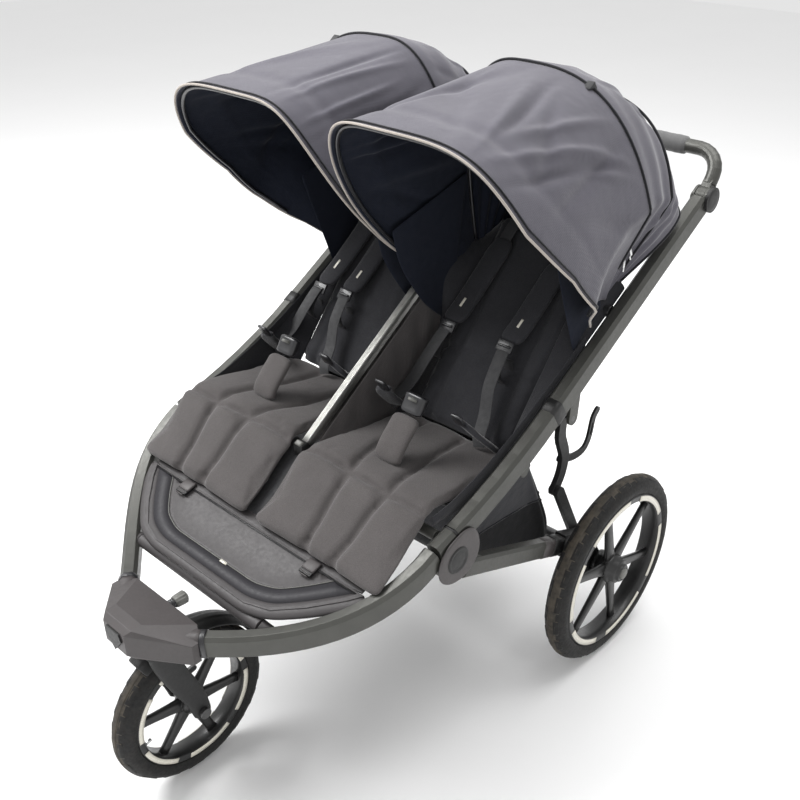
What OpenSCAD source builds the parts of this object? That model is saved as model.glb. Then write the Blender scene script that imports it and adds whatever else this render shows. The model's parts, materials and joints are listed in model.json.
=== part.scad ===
// Side-by-side jogging stroller with two seats, a swivelling front wheel and two spoked rear wheels.
// +X is the right side seen from the front, -Y is the front, +Z is up, the ground is Z = 0.

/* [Wheels] */
// Outer radius of a rear tyre
rear_r = 200; // [190:1:205]
// Outer radius of the front tyre
front_r = 150; // [145:1:152]
// Radius of a tyre's round section
tyre_r = 23; // [20:1:23]
// Distance from the middle of the stroller to the middle of a rear wheel
wheel_x = 366; // [366:1:372]
// Place of the rear axle along Y
rear_axle_y = 300; // [298:1:302]
// Place of the front axle along Y
front_axle_y = -455; // [-457:1:-453]
// Radius of the rear axle stubs
axle_r = 6; // [5:0.5:6]

/* [Frame] */
// Width of a frame tube across the stroller
tube_w = 28; // [26:1:28]
// Height of a frame tube
tube_h = 42; // [38:1:42]
// Distance from the middle of the stroller to the middle of an upper tube
tube_x = 326; // [326:0.5:326]
// Height of a rear chassis tube
chassis_h = 34; // [30:1:34]
// Radius of the fold pivot pins
pivot_r = 8; // [7:0.5:8]
// Radius of the round lugs at the fold pivots
lug_r = 36; // [34:1:36]

/* [Seats] */
// Half the gap between the two seats
seat_gap = 18; // [18:1:20]
// Outer side of a seat cushion
seat_out = 300; // [296:1:300]
// Thickness of a seat cushion
cushion_t = 20; // [16:1:20]
// Angle of the backrests from level
back_angle = 52; // [50:1:54]
// Length of a backrest
back_len = 416; // [400:4:416]
// Inner side of a backrest
back_in = 36; // [36:1:38]
// Outer side of a backrest
back_out = 278; // [274:1:278]

/* [Hoods] */
// Inner side of a hood
hood_in = 12; // [12:0.5:12.5]
// Outer side of a hood at its pivots
hood_out = 302; // [300:1:302]
// How far the outer side bulges past the pivots
hood_bulge = 54; // [40:1:56]
// Thickness of the hood fabric
hood_t = 2.5; // [2.5:0.5:3]

/* [Handlebar] */
// Radius of the handlebar tube
bar_r = 13; // [12:0.5:13]
// Radius of the handlebar grip
grip_r = 17; // [16:0.5:17]

/* [Hidden] */
$fn = 48;

// Colours
metal_grey = [0.33, 0.33, 0.32];
dark_grey = [0.16, 0.16, 0.16];
black = [0.06, 0.06, 0.06];
fabric_grey = [0.30, 0.29, 0.29];
hood_grey = [0.33, 0.33, 0.38];
knob_grey = [0.55, 0.55, 0.52];

// Clearances
run = 0.06; // radial play of a pin in its hole

// Pivot points as [Y, Z]
hub = [-145, 462]; // main fold pivot
brace_top = [189, 571]; // brace on the upper tube
brace_knee = [182, 413]; // knee of the brace
brace_foot = [252, 281]; // brace on the axle block
hood_pivot = [280, 745];
seat_pivot = [62, 518]; // backrest hinge
handle_pivot = [538, 890];
rear_axle_z = rear_r;
front_axle_z = front_r;
stem_y = -515; // steering axis
stem_r = 9;

// Layers across the stroller at the fold pivot, from inside to outside
tube_in = tube_x - tube_w / 2;
tube_out = tube_x + tube_w / 2;
lug_inner = [tube_in, tube_in + 7];
lug_front = [tube_in + 7.5, tube_in + 13];
front_arm = [-205, 468]; // where the lug of a front tube meets the tube
rear_arm = [-70, 408];
lug_rear = [tube_in + 13.5, tube_in + 20];
lug_outer = [tube_in + 20.5, tube_out];

// Layers of the braces, inside the chassis tubes so that they pass them when folded
brace_upper = [291, 301];
brace_lower = [302, 311.5];
hook_layer = [285.5, 290.5];
brace_r = 5; // brace pins
hook_r = 4;
hood_pin_r = 4;
handle_r = 7; // handlebar hinge pins

// ---- Shared shapes ----

// Extrudes a [Y, Z] outline from x0 to x1
module yz(x0, x1) {
    translate([x0, 0, 0])
        rotate([90, 0, 90])
            linear_extrude(x1 - x0)
                children();
}

// Round bar along X from x0 to x1 through the point [Y, Z]
module bar_x(p, r, x0, x1) {
    translate([x0, p[0], p[1]])
        rotate([0, 90, 0])
            cylinder(r = r, h = x1 - x0);
}

// Disc of radius r at a [Y, Z] point, as an outline
module spot(p, r) {
    translate(p)
        circle(r);
}

// Outline of a flat bar of width w along a line of [Y, Z] points, with round ends
function heading(p, i) =
    let (d = p[min(i + 1, len(p) - 1)] - p[max(i - 1, 0)])
        atan2(d[1], d[0]);
function polar(r, a) = r * [cos(a), sin(a)];
function round_end(c, r, a) = [for (i = [1 : 8]) c + polar(r, a - 20 * i)];
function ribbon(p, w) =
    let (n = len(p) - 1, r = w / 2)
        concat(
            [for (i = [0 : n]) p[i] + polar(r, heading(p, i) + 90)],
            round_end(p[n], r, heading(p, n) + 90),
            [for (i = [n : -1 : 0]) p[i] + polar(r, heading(p, i) - 90)],
            round_end(p[0], r, heading(p, 0) - 90)
        );

module link(a, b, w) {
    polygon(ribbon([a, b], w));
}

// Smooth curve through all the points of p, with n steps between neighbours
function curve_point(a, b, c, d, t) =
    0.5 * (2 * b + (c - a) * t + (2 * a - 5 * b + 4 * c - d) * t * t
    + (3 * b - a - 3 * c + d) * pow(t, 3));
function smooth(p, n) =
    let (m = len(p) - 1)
        concat(
            [for (i = [0 : m - 1], k = [0 : n - 1])
                curve_point(p[max(i - 1, 0)], p[i], p[i + 1], p[min(i + 2, m)], k / n)],
            [p[m]]
        );

// Round bar between two 3D points
module rod(a, b, r) {
    d = b - a;
    translate(a)
        rotate([0, acos(d[2] / norm(d)), atan2(d[1], d[0])])
            cylinder(r = r, h = norm(d));
}

module on_side(s) {
    mirror([s < 0 ? 1 : 0, 0, 0])
        children();
}

function unit(v) = v / norm(v);
function mix(a, b, t) = a + (b - a) * t;
function bezier(p, t) =
    pow(1 - t, 3) * p[0] + 3 * t * pow(1 - t, 2) * p[1]
    + 3 * t * t * (1 - t) * p[2] + pow(t, 3) * p[3];
function direction(path, i) =
    unit(path[min(i + 1, len(path) - 1)] - path[max(i - 1, 0)]);

// Sweeps a 2D section along a 3D path, with the section's second axis kept near "up"
module sweep(path, section, up = [0, 0, 1]) {
    n = len(section);
    m = len(path);
    points = [
        for (i = [0 : m - 1])
            let (t = direction(path, i), side = unit(cross(t, up)), top = cross(side, t))
                for (q = section) path[i] + side * q[0] + top * q[1]
    ];
    walls = [
        for (i = [0 : m - 2], j = [0 : n - 1])
            let (k = (j + 1) % n)
                [i * n + j, i * n + k, (i + 1) * n + k, (i + 1) * n + j]
    ];
    first = [for (j = [n - 1 : -1 : 0]) j];
    last = [for (j = [0 : n - 1]) (m - 1) * n + j];
    polyhedron(points, concat(walls, [first, last]), convexity = 6);
}

// Rectangle with cut corners, as section points
function box_section(w, h, c) = [
    [w / 2, -h / 2 + c], [w / 2, h / 2 - c], [w / 2 - c, h / 2], [-w / 2 + c, h / 2],
    [-w / 2, h / 2 - c], [-w / 2, -h / 2 + c], [-w / 2 + c, -h / 2], [w / 2 - c, -h / 2]
];
function round_section(r, n) = [for (i = [0 : n - 1]) [r * cos(i * 360 / n), r * sin(i * 360 / n)]];

// Closes two equal grids of points, an outer and an inner one, into a thin shell
module grid_shell(outer, inner) {
    m = len(outer);
    n = len(outer[0]);
    points = concat([for (row = outer) for (p = row) p], [for (row = inner) for (p = row) p]);
    h = m * n;
    faces = concat(
        [for (i = [0 : m - 2], j = [0 : n - 2])
            [i * n + j, i * n + j + 1, (i + 1) * n + j + 1, (i + 1) * n + j]],
        [for (i = [0 : m - 2], j = [0 : n - 2])
            [h + i * n + j, h + (i + 1) * n + j, h + (i + 1) * n + j + 1, h + i * n + j + 1]],
        [for (j = [0 : n - 2]) [j, h + j, h + j + 1, j + 1]],
        [for (j = [0 : n - 2])
            [(m - 1) * n + j, (m - 1) * n + j + 1, h + (m - 1) * n + j + 1, h + (m - 1) * n + j]],
        [for (i = [0 : m - 2]) [i * n, (i + 1) * n, h + (i + 1) * n, h + i * n]],
        [for (i = [0 : m - 2])
            [i * n + n - 1, h + i * n + n - 1, h + (i + 1) * n + n - 1, (i + 1) * n + n - 1]]
    );
    polyhedron(points, faces, convexity = 8);
}

// ---- Upper frame ----

// Centre line of an upper tube: a long arc from the hub, then a straight run
arc_r = 1156;
arc_start = 16;
arc_end = 32.1;
arc_from = [-184, 489];
function arc_point(a) = arc_from + arc_r * [sin(a) - sin(arc_start), cos(arc_start) - cos(a)];
upper_line = [
    for (i = [0 : 6]) arc_point(mix(arc_start, arc_end, i / 6)),
    handle_pivot
];
handle_lug_r = 22;
handle_lug_w = 4.5;
function at_x(line, x) = [for (p = line) [x, p[0], p[1]]];

module upper_tube() {
    color(metal_grey)
        difference() {
            union() {
                sweep(at_x(upper_line, tube_x), box_section(tube_w, tube_h, 6));
                yz(tube_in, tube_out) {
                    spot(hub, lug_r);
                    spot(handle_pivot, handle_lug_r);
                }
                yz(tube_in, tube_in + 6)
                    link(brace_top, brace_top + [4, 80], 26);
            }
            yz(lug_inner[1], lug_outer[0]) {
                spot(hub, lug_r + 1.5);
                link(hub, front_arm, 27);
            }
            yz(tube_in + handle_lug_w, tube_out - handle_lug_w)
                spot(handle_pivot, handle_lug_r + 3);
            bar_x(hub, pivot_r, tube_in - 1, tube_out + 1);
            bar_x(brace_top, brace_r, tube_in - 1, tube_in + 7);
            bar_x(handle_pivot, handle_r, tube_x, tube_out + 1);
            bar_x(handle_pivot, 9 + run, tube_in - 1, tube_x);
        }
}

// Outer covers over the fold pivots, each with a plain round badge
module hub_covers() {
    for (s = [-1, 1])
        on_side(s) {
            color(dark_grey)
                yz(tube_out + 0.5, tube_out + 6)
                    hull() {
                        spot(hub + [-8, 22], 32);
                        spot(hub + [10, -4], 44);
                        spot(hub + [30, 40], 22);
                    }
            color(black)
                yz(tube_out + 6, tube_out + 8)
                    spot(hub + [-4, 4], 24);
            color(dark_grey)
                yz(tube_out, tube_out + 0.5)
                    spot(hub + [28, 52], 12);
        }
}

// Pins of the fold hub, the brace and the hood on each side
module pivot_pins() {
    color(dark_grey)
        for (s = [-1, 1])
            on_side(s) {
                bar_x(hub, pivot_r, tube_in - 3, tube_out);
                bar_x(brace_top, brace_r, brace_upper[0] - 1, tube_in + 6);
                bar_x(hood_pivot, hood_pin_r, 4, 24);
                bar_x(hood_pivot, hood_pin_r, 285, tube_in);
                yz(299, tube_in)
                    spot(hood_pivot + [4, -2], 11);
            }
}

// Ribbed rail between the seats, carrying the inner hood pivots
rail_low = [-165, 540];
rail_mid = [190, 794];
rail_top = [480, 842];
rail_w = 22;

module center_rail() {
    color(knob_grey)
        difference() {
            yz(-rail_w / 2, rail_w / 2)
                polygon([
                    rail_low + [-9, -34], rail_low + [9, -34], rail_low + [9, -2], rail_mid + [4, -11],
                    rail_top + [0, -11], rail_top + [0, 9], rail_mid + [-3, 9], rail_low + [-9, 6]
                ]);
            bar_x([-165, 508], 9, -rail_w, rail_w);
            bar_x(rail_top + [-14, 0], 7, -rail_w, rail_w);
        }
    color(dark_grey)
        yz(-4, 4)
            polygon([[268, 745], [292, 745], [300, 814], [276, 810]]);
}

module seat_crossbars() {
    color(dark_grey) {
        bar_x([-165, 508], 9, -tube_in, tube_in);
        bar_x(rail_top + [-14, 0], 7, -tube_in, tube_in);
        bar_x(seat_pivot, 8, -tube_in + 1, tube_in - 1);
        for (s = [-1, 1])
            on_side(s)
                yz(tube_in - 5, tube_in)
                    link(seat_pivot, [70, 592], 22);
    }
}

// ---- Seats ----

// Top line of a seat cushion from its front edge over the knee to the back
cushion_top = [[-291, 463], [-250, 492], [-200, 538], [-172, 554], [-130, 552], [-60, 542], [44, 530]];
cushion_base = [[44, 510], [-60, 521], [-130, 531], [-164, 532], [-188, 519], [-240, 472], [-281, 446]];

module seat_cushion() {
    color(fabric_grey)
        intersection() {
            yz(seat_gap, seat_out)
                polygon(concat(cushion_top, cushion_base));
            linear_extrude(600)
                polygon([[0, -300], [272, -300], [seat_out, -225], [seat_out, 60], [0, 60]]);
        }
}

// Fabric walls beside each seat, outside and along the centre rail
module seat_sides() {
    color(fabric_grey)
        for (s = [-1, 1])
            on_side(s)
                difference() {
                    union() {
                        yz(302.5, 305.5)
                            polygon([
                                [-168, 524], [-120, 524], [44, 506], [120, 560], [225, 640],
                                [225, 712], [110, 640], [0, 580], [-100, 546], [-168, 534]
                            ]);
                        yz(12, 15)
                            polygon([
                                [-150, 524], [40, 506], [120, 560], [175, 640], [175, 765],
                                [150, 748], [-140, 541]
                            ]);
                    }
                    bar_x(seat_pivot, 9, 0, tube_x);
                }
}

// Padded crotch strap that stands up from the seat, with the harness buckle
module crotch_buckle() {
    x = (seat_gap + seat_out) / 2;
    color(fabric_grey)
        yz(x - 24, x + 24)
            link([-112, 559], [-70, 614], 18);
    color(black)
        yz(x - 18, x + 18)
            link([-58, 634], [-46, 650], 20);
}

// Backrest panel, hinged on the rear crossbar
function along(p, a, d) = p + d * [cos(a), sin(a)];

module backrest() {
    color(fabric_grey)
        difference() {
            yz(back_in, back_out) {
                spot(seat_pivot, 15);
                link(along(seat_pivot, back_angle, 12), along(seat_pivot, back_angle, back_len), 22);
            }
            bar_x(seat_pivot, 8 + run, 0, tube_x);
        }
}

module shoulder_pads() {
    for (x = [115, 205])
        color(black)
            translate([x - 22, seat_pivot[0], seat_pivot[1]])
                rotate([back_angle, 0, 0])
                    translate([0, 190, 12])
                        cube([44, 190, 14]);
}

// ---- Hoods ----

// Reach of the hood from its pivot at angle a behind the front bow, and in front of it
bow_a = 101;
rear_a = 43;
lip_a = 140;
rear_inset = 16; // side play that lets both bows pass the rear part
bow_inset = 7;
lip_inset = 12;
function rear_reach(a) = lookup(a, [[43, 288], [62, 317], [77, 359], [97, 410]]);
function visor_reach(f) = 413 + 145 * pow(f, 1.5);
// Angle of the front lip at distance r from the pivot
function lip_angle(r) = lookup(r, [[20, 128], [200, 142], [310, 149], [558, lip_a + 0.5]]);
function power(v, n) = sign(v) * pow(abs(v), n);

// Point of a hood arch: t runs from 0 on the inner side to 180 on the outer side
function arch(reach, t, inset) =
    let (
        c = power(cos(t), 0.72),
        r = (reach - inset) * power(sin(t), 0.72),
        half = (hood_out - hood_in) / 2 - inset,
        bulge = hood_bulge * pow(min(r / 210, 1), 1.5) * max(-c, 0)
    )
        [(hood_in + hood_out) / 2 - half * c + bulge, r];
function around_pivot(x, r, a) = [x, hood_pivot[0] + r * cos(a), hood_pivot[1] + r * sin(a)];
arch_steps = [for (i = [0 : 24]) 3 + 174 * i / 24];
rear_steps = [for (i = [0 : 22]) 7 + 166 * i / 22];

function visor_grid(inset) = [
    for (i = [0 : 8])
        let (f = i / 8) [
            for (t = arch_steps)
                let (q = arch(visor_reach(f), t, inset))
                    around_pivot(q[0], q[1], mix(bow_a, lip_angle(q[1]), f))
        ]
];
function rear_grid(inset) = [
    for (i = [0 : 8])
        let (a = mix(rear_a, 97, i / 8)) [
            for (t = rear_steps)
                let (q = arch(rear_reach(a), t, inset))
                    around_pivot(q[0], q[1], a)
        ]
];

module hood_visor() {
    color(hood_grey)
        grid_shell(visor_grid(0), visor_grid(hood_t));
}

module hood_rear() {
    color(hood_grey)
        grid_shell(rear_grid(rear_inset), rear_grid(rear_inset + hood_t));
}

// Hoop that follows the hood at a given angle. Each end has an eye in a layer of its own at the
// pivot, and a step from that layer to the wire.
module hoop(reach, a, first, wire, inset, eyes, steps) {
    path = [
        for (i = [0 : 28])
            let (q = arch(reach, mix(first, 180 - first, i / 28), inset))
                around_pivot(q[0], q[1], a)
    ];
    color(dark_grey)
        difference() {
            union() {
                sweep(path, round_section(wire, 8), [0, cos(a), sin(a)] + [0.001, 0, 0]);
                for (e = eyes)
                    yz(e[0], e[1]) {
                        spot(hood_pivot, 12);
                        link(hood_pivot, along(hood_pivot, a, 34), 7);
                    }
                for (x = steps)
                    yz(x[0], x[1])
                        link(along(hood_pivot, a, 32), along(hood_pivot, a, 38), 7);
            }
            bar_x(hood_pivot, hood_pin_r + run, 0, tube_x);
        }
}

// Main bow of a hood
module hood_bow() {
    hoop(410, bow_a, 1.7, 3.6, bow_inset, [[11.5, 18], [291, 298]], [[12, 22.5], [287, 298]]);
}

// Thin bow in the front lip of a hood
module hood_lip() {
    hoop(558, lip_a + 1, 1.1, 3, lip_inset, [[18.5, 22.5], [287, 290.5]], [[18.5, 27], [287, 293]]);
}

// ---- Handlebar ----

handle_reach = [50, 72]; // from the pivots to the middle of the grip
grip_at = handle_pivot + handle_reach;
handle_a = atan2(handle_reach[1], handle_reach[0]);

// Hinge pins of the handlebar with their outer caps
module handle_hinges() {
    color(dark_grey)
        for (s = [-1, 1])
            on_side(s) {
                bar_x(handle_pivot, handle_r, tube_in + handle_lug_w + 0.6, tube_out + 6);
                bar_x(handle_pivot, 23, tube_out, tube_out + 6);
            }
}

module handlebar() {
    bend = 46;
    low_at = along(handle_pivot, handle_a, handle_lug_r + 4);
    low = [tube_x, low_at[0], low_at[1]];
    high = [tube_x, grip_at[0], grip_at[1]];
    corner = [
        for (i = [0 : 6])
            let (a = 90 * i / 6)
                high + [-bend * (1 - cos(a)), 0, 0] + unit(low - high) * bend * (1 - sin(a))
    ];
    color(dark_grey)
        difference() {
            union() {
                for (s = [-1, 1])
                    on_side(s) {
                        sweep(concat([low], corner), round_section(bar_r, 20), [1, 0, 0.01]);
                        yz(tube_in + handle_lug_w + 0.5, tube_out - handle_lug_w - 0.5) {
                            spot(handle_pivot, handle_lug_r - 1);
                            link(handle_pivot, low_at, 24);
                        }
                    }
                bar_x(grip_at, bar_r, -(tube_x - bend) - 1, tube_x - bend + 1);
            }
            bar_x(handle_pivot, handle_r + run, -tube_out, tube_out);
        }
}

module handle_grip() {
    color(black)
        difference() {
            bar_x(grip_at, grip_r, -255, 255);
            bar_x(grip_at, bar_r, -260, 260);
        }
}

module handle_button() {
    color(knob_grey)
        bar_x(handle_pivot, 9, tube_in - 8, tube_in + 1);
}

// ---- Front frame ----

front_path = [[62, -506, 360], [190, -402, 352], [330, -322, 418], [tube_x, -187, 487]];

module front_sweep(play = 0) {
    sweep(
        [for (i = [0 : 18]) bezier(front_path, i / 18)],
        box_section(tube_w + play, tube_h + play, 6)
    );
}

module front_tube() {
    color(metal_grey)
        difference() {
            union() {
                difference() {
                    front_sweep();
                    yz(tube_in - 2, tube_out + 2)
                        spot(hub, lug_r + 2);
                }
                yz(lug_front[0], lug_front[1]) {
                    spot(hub, lug_r);
                    link(hub, front_arm, 24);
                }
            }
            bar_x(hub, pivot_r + run, tube_in - 1, tube_out + 1);
        }
}

// Moulded head that joins both front tubes and holds the steering stem
module nose_head() {
    color([0.36, 0.34, 0.35])
        difference() {
            hull() {
                translate([-28, -566, 350])
                    cube([56, 20, 40]);
                translate([-36, -556, 342])
                    cube([72, 20, 56]);
                for (s = [-1, 1])
                    on_side(s) {
                        translate([96, -500, 337])
                            cube([14, 14, 38]);
                        translate([62, -482, 337])
                            cube([20, 14, 46]);
                    }
            }
            for (s = [-1, 1])
                on_side(s)
                    front_sweep();
            translate([0, stem_y, 330])
                cylinder(r = stem_r + run, h = 56);
            translate([0, -500, 371])
                rotate([-90, 0, 0])
                    cylinder(r = 6 + run, h = 60);
        }
}

// Shield-shaped cap at the tip of the head
module nose_cap() {
    color(dark_grey)
        translate([0, -566, 370])
            rotate([90, 0, 0])
                linear_extrude(3)
                    polygon([[-17, 18], [17, 18], [22, 4], [0, -22], [-22, 4]]);
}

tray_tilt = 17;
tray_back = [-289, 436]; // rear edge of the tray

module footrest_tray() {
    outline = [
        [-277, 0], [277, 0], [260, -22], [214, -68], [168, -104], [120, -118],
        [-120, -118], [-168, -104], [-214, -68], [-260, -22]
    ];
    color(dark_grey)
        translate([0, tray_back[0], tray_back[1]])
            rotate([tray_tilt, 0, 0])
                difference() {
                    union() {
                        linear_extrude(4)
                            polygon(outline);
                        linear_extrude(9)
                            difference() {
                                polygon(outline);
                                polygon(outline * 0.955 - [for (p = outline) [0, 3]]);
                            }
                    }
                }
    color(metal_grey)
        difference() {
            union() {
                bar_x([-404, 385], 12, -160, 160);
                for (s = [-1, 1])
                    on_side(s)
                        rod([158, -404, 385], [206, -390, 362], 12);
            }
            for (s = [-1, 1])
                on_side(s)
                    front_sweep(0.6);
        }
}

module footrest_clips() {
    color(black)
        for (x = [-165, 165])
            translate([x - 13, tray_back[0], tray_back[1]])
                rotate([tray_tilt, 0, 0])
                    translate([0, -24, 9])
                        cube([26, 26, 4]);
}

// Spring plunger that locks the steering
module swivel_knob() {
    color(knob_grey)
        translate([0, -466, 371])
            rotate([-90, 0, 0]) {
                cylinder(r = 12, h = 30);
                translate([0, 0, -26])
                    cylinder(r = 6, h = 28);
            }
}

// ---- Caster and front wheel ----

fork_in = 31;
fork_out = 42;
front_axle_r = 5;

module fork() {
    leg = [
        [-541, 334], [-486, 334], [-480, 300], [-468, 250], [-448, 195],
        [-441, 150], [-469, 150], [-494, 200], [-520, 255]
    ];
    color(black)
        difference() {
            union() {
                for (s = [-1, 1])
                    on_side(s)
                        yz(fork_in, fork_out) {
                            polygon(leg);
                            spot([front_axle_y, front_axle_z], 15);
                        }
                yz(-fork_out, fork_out)
                    polygon([[-541, 334], [-486, 334], [-484, 314], [-535, 314]]);
                translate([0, stem_y, 330])
                    cylinder(r = stem_r, h = 54);
                translate([0, stem_y, 333])
                    cylinder(r = 16, h = 3.4);
            }
            bar_x([front_axle_y, front_axle_z], front_axle_r + run, -fork_out - 1, fork_out + 1);
        }
}

module mudguard() {
    turn = 96;
    color(black)
        translate([0, front_axle_y, front_axle_z])
            rotate([58, 0, 0])
                rotate([90, 0, 90])
                    rotate_extrude(angle = turn, $fn = 96)
                        translate([front_r + 7, -27])
                            square([3.5, 54]);
    color(black)
        translate([-10, stem_y - 8, 296])
            cube([20, 16, 18]);
}

// Tyre of outer radius r, turning about X at the origin
module tyre(r, bead) {
    rotate([0, 90, 0])
        rotate_extrude($fn = 96)
            difference() {
                translate([r - tyre_r, 0])
                    circle(tyre_r);
                translate([0, -50])
                    square([bead, 100]);
            }
}

// One-piece spoked rim with its hub, turning about X at the origin
module rim(bead, rim_w, band, hub_r, hub_x0, hub_x1, spoke_w, bore, turn) {
    difference() {
        union() {
            rotate([0, 90, 0])
                rotate_extrude($fn = 96)
                    translate([bead - band, -rim_w / 2])
                        square([band, rim_w]);
            bar_x([0, 0], hub_r, hub_x0, hub_x1);
            for (i = [0 : 5])
                rotate([turn + 60 * i, 0, 0])
                    yz(-5, 7)
                        polygon([
                            [0, -spoke_w / 2], [bead - band + 3, -spoke_w * 0.3],
                            [bead - band + 3, spoke_w * 0.3], [0, spoke_w / 2]
                        ]);
        }
        bar_x([0, 0], bore, hub_x0 - 1, hub_x1 + 1);
    }
}

module at_front_axle() {
    translate([0, front_axle_y, front_axle_z])
        children();
}

module at_rear_axle(s) {
    on_side(s)
        translate([wheel_x, rear_axle_y, rear_axle_z])
            children();
}

front_bead = 116;
rear_bead = 164;
rear_hub_end = 33; // outer end of the hub from the middle of the wheel

module front_tyre() {
    color(black)
        at_front_axle()
            tyre(front_r, front_bead);
}

module front_rim() {
    color(dark_grey)
        at_front_axle()
            rim(front_bead, 32, 12, 19, -30, 30, 20, front_axle_r + run, 20);
}

// Front axle with its end nut
module front_axle() {
    color(dark_grey) {
        bar_x([front_axle_y, front_axle_z], front_axle_r, -54, 50);
        bar_x([front_axle_y, front_axle_z], 10, fork_out + 0.5, 50);
    }
}

// Quick-release lever on the left end of the front axle
module skewer_lever() {
    color(dark_grey)
        difference() {
            union() {
                bar_x([front_axle_y, front_axle_z], 11, -53, -fork_out - 0.5);
                yz(-53, -47)
                    link([front_axle_y, front_axle_z], [front_axle_y + 46, front_axle_z + 8], 12);
            }
            bar_x([front_axle_y, front_axle_z], front_axle_r + run, -55, -fork_out);
        }
}

// ---- Rear frame ----

chassis_start = [-118, 426];
chassis_end = [168, 310];

module chassis_tube() {
    color(metal_grey)
        difference() {
            union() {
                difference() {
                    sweep(at_x([chassis_start, chassis_end], tube_x), box_section(26, chassis_h, 5));
                    yz(tube_in - 2, tube_out + 2)
                        spot(hub, lug_r + 2);
                }
                yz(lug_rear[0], lug_rear[1]) {
                    spot(hub, lug_r);
                    link(hub, rear_arm, 26);
                }
            }
            bar_x(hub, pivot_r + run, tube_in - 1, tube_out + 1);
        }
}

block_in = 313;
block_out = 335.5;
beam = [285, 218];
beam_r = 14;
pin_at = [rear_axle_y - 18, rear_axle_z]; // brake pins
pin_r = 3;
chassis_dir = unit(chassis_end - chassis_start);
chassis_face = [-chassis_dir[1], chassis_dir[0]] * (chassis_h / 2 + 4);

// Cast blocks between the chassis tubes and the wheels
module axle_blocks() {
    color(dark_grey)
        for (s = [-1, 1])
            on_side(s)
                difference() {
                    yz(block_in, block_out)
                        polygon([
                            chassis_end + chassis_face, [236, 304], [262, 294], [304, 224], [324, 205],
                            [318, 180], [290, 176], [262, 190], [224, 252], chassis_end - chassis_face
                        ]);
                    bar_x([rear_axle_y, rear_axle_z], axle_r, block_in - 1, block_out + 1);
                    bar_x(beam, beam_r, block_in - 1, block_in + 8);
                    bar_x(pin_at, pin_r + run, block_in + 8, block_out + 1);
                    bar_x(brace_foot, brace_r, block_in - 1, block_in + 12);
                }
}

// Cross beam with the stub axles of both rear wheels
module rear_axle() {
    color(dark_grey) {
        bar_x(beam, beam_r, -block_in - 8, block_in + 8);
        for (s = [-1, 1])
            on_side(s) {
                bar_x([rear_axle_y, rear_axle_z], axle_r, block_in + 2, wheel_x + 10);
                bar_x(brace_foot, brace_r, brace_lower[0] - 1, block_in + 12);
            }
    }
}

// Fabric basket with an open top
module basket() {
    outer = [[-70, 484], [-62, 360], [20, 300], [215, 262], [238, 300], [150, 484]];
    inner = [[-66, 486], [-59, 362], [21, 303.5], [213, 266], [234, 300], [146, 486]];
    color(black)
        difference() {
            yz(-282, 282)
                polygon(outer);
            yz(-279, 279)
                polygon(inner);
        }
}

module rear_tyre(s) {
    color(black)
        at_rear_axle(s)
            tyre(rear_r, rear_bead);
}

module rear_rim(s) {
    color(dark_grey)
        at_rear_axle(s)
            difference() {
                rim(rear_bead, 34, 14, 26, -30, rear_hub_end, 24, axle_r + run, 12);
                for (i = [0 : 11])
                    rotate([30 * i, 0, 0])
                        bar_x([-18, 0], 4, -31, -18);
                bar_x([0, 0], 12 + run, rear_hub_end - 9, rear_hub_end + 1);
            }
}

// Push button in the middle of a rear wheel that frees it from its axle
module wheel_button(s) {
    color(knob_grey)
        at_rear_axle(s)
            bar_x([0, 0], 12, rear_hub_end - 5, rear_hub_end + 4);
}

// Foot pedal that turns on the cross beam
module brake_pedal() {
    color(dark_grey)
        difference() {
            union() {
                bar_x(beam, 20, 60, 130);
                yz(60, 130)
                    link(beam, [352, 206], 14);
                yz(50, 140)
                    link([352, 206], [372, 210], 16);
            }
            bar_x(beam, beam_r + run, 40, 150);
        }
}

module brake_pin() {
    color(knob_grey)
        bar_x(pin_at, pin_r, block_in + 9, block_out - 1);
}

// ---- Braces ----

// S-shaped upper half of a brace
module strut_upper() {
    spine = smooth([brace_top, [186, 528], [203, 482], [199, 443], brace_knee], 4);
    color(black) {
        difference() {
            yz(brace_upper[0], brace_upper[1])
                polygon(ribbon(spine, 22));
            bar_x(brace_top, brace_r + run, 280, tube_in);
        }
        bar_x(brace_knee, 7, brace_upper[0] - 3, brace_upper[0]);
        bar_x(hook_pivot, hook_r, hook_layer[0] - 1, brace_upper[0]);
    }
}

// Straight lower half of a brace
module strut_lower() {
    color(dark_grey)
        difference() {
            yz(brace_lower[0], brace_lower[1])
                link(brace_knee, brace_foot, 22);
            bar_x(brace_foot, brace_r + run, 280, block_in);
        }
}

// Bent flat hook that holds the stroller folded
hook_pivot = [203, 468];

module fold_hook() {
    spine = smooth([hook_pivot, [245, 452], [280, 452], [297, 472], [305, 510], [316, 524]], 4);
    color(dark_grey)
        difference() {
            yz(hook_layer[0], hook_layer[1])
                polygon(ribbon(spine, 14));
            yz(hook_layer[0] - 1, hook_layer[1] + 1)
                link([299, 480], [303, 500], 5);
            bar_x(hook_pivot, hook_r + run, hook_layer[0] - 1, hook_layer[1] + 1);
        }
}

// ---- Assembly ----

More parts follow.
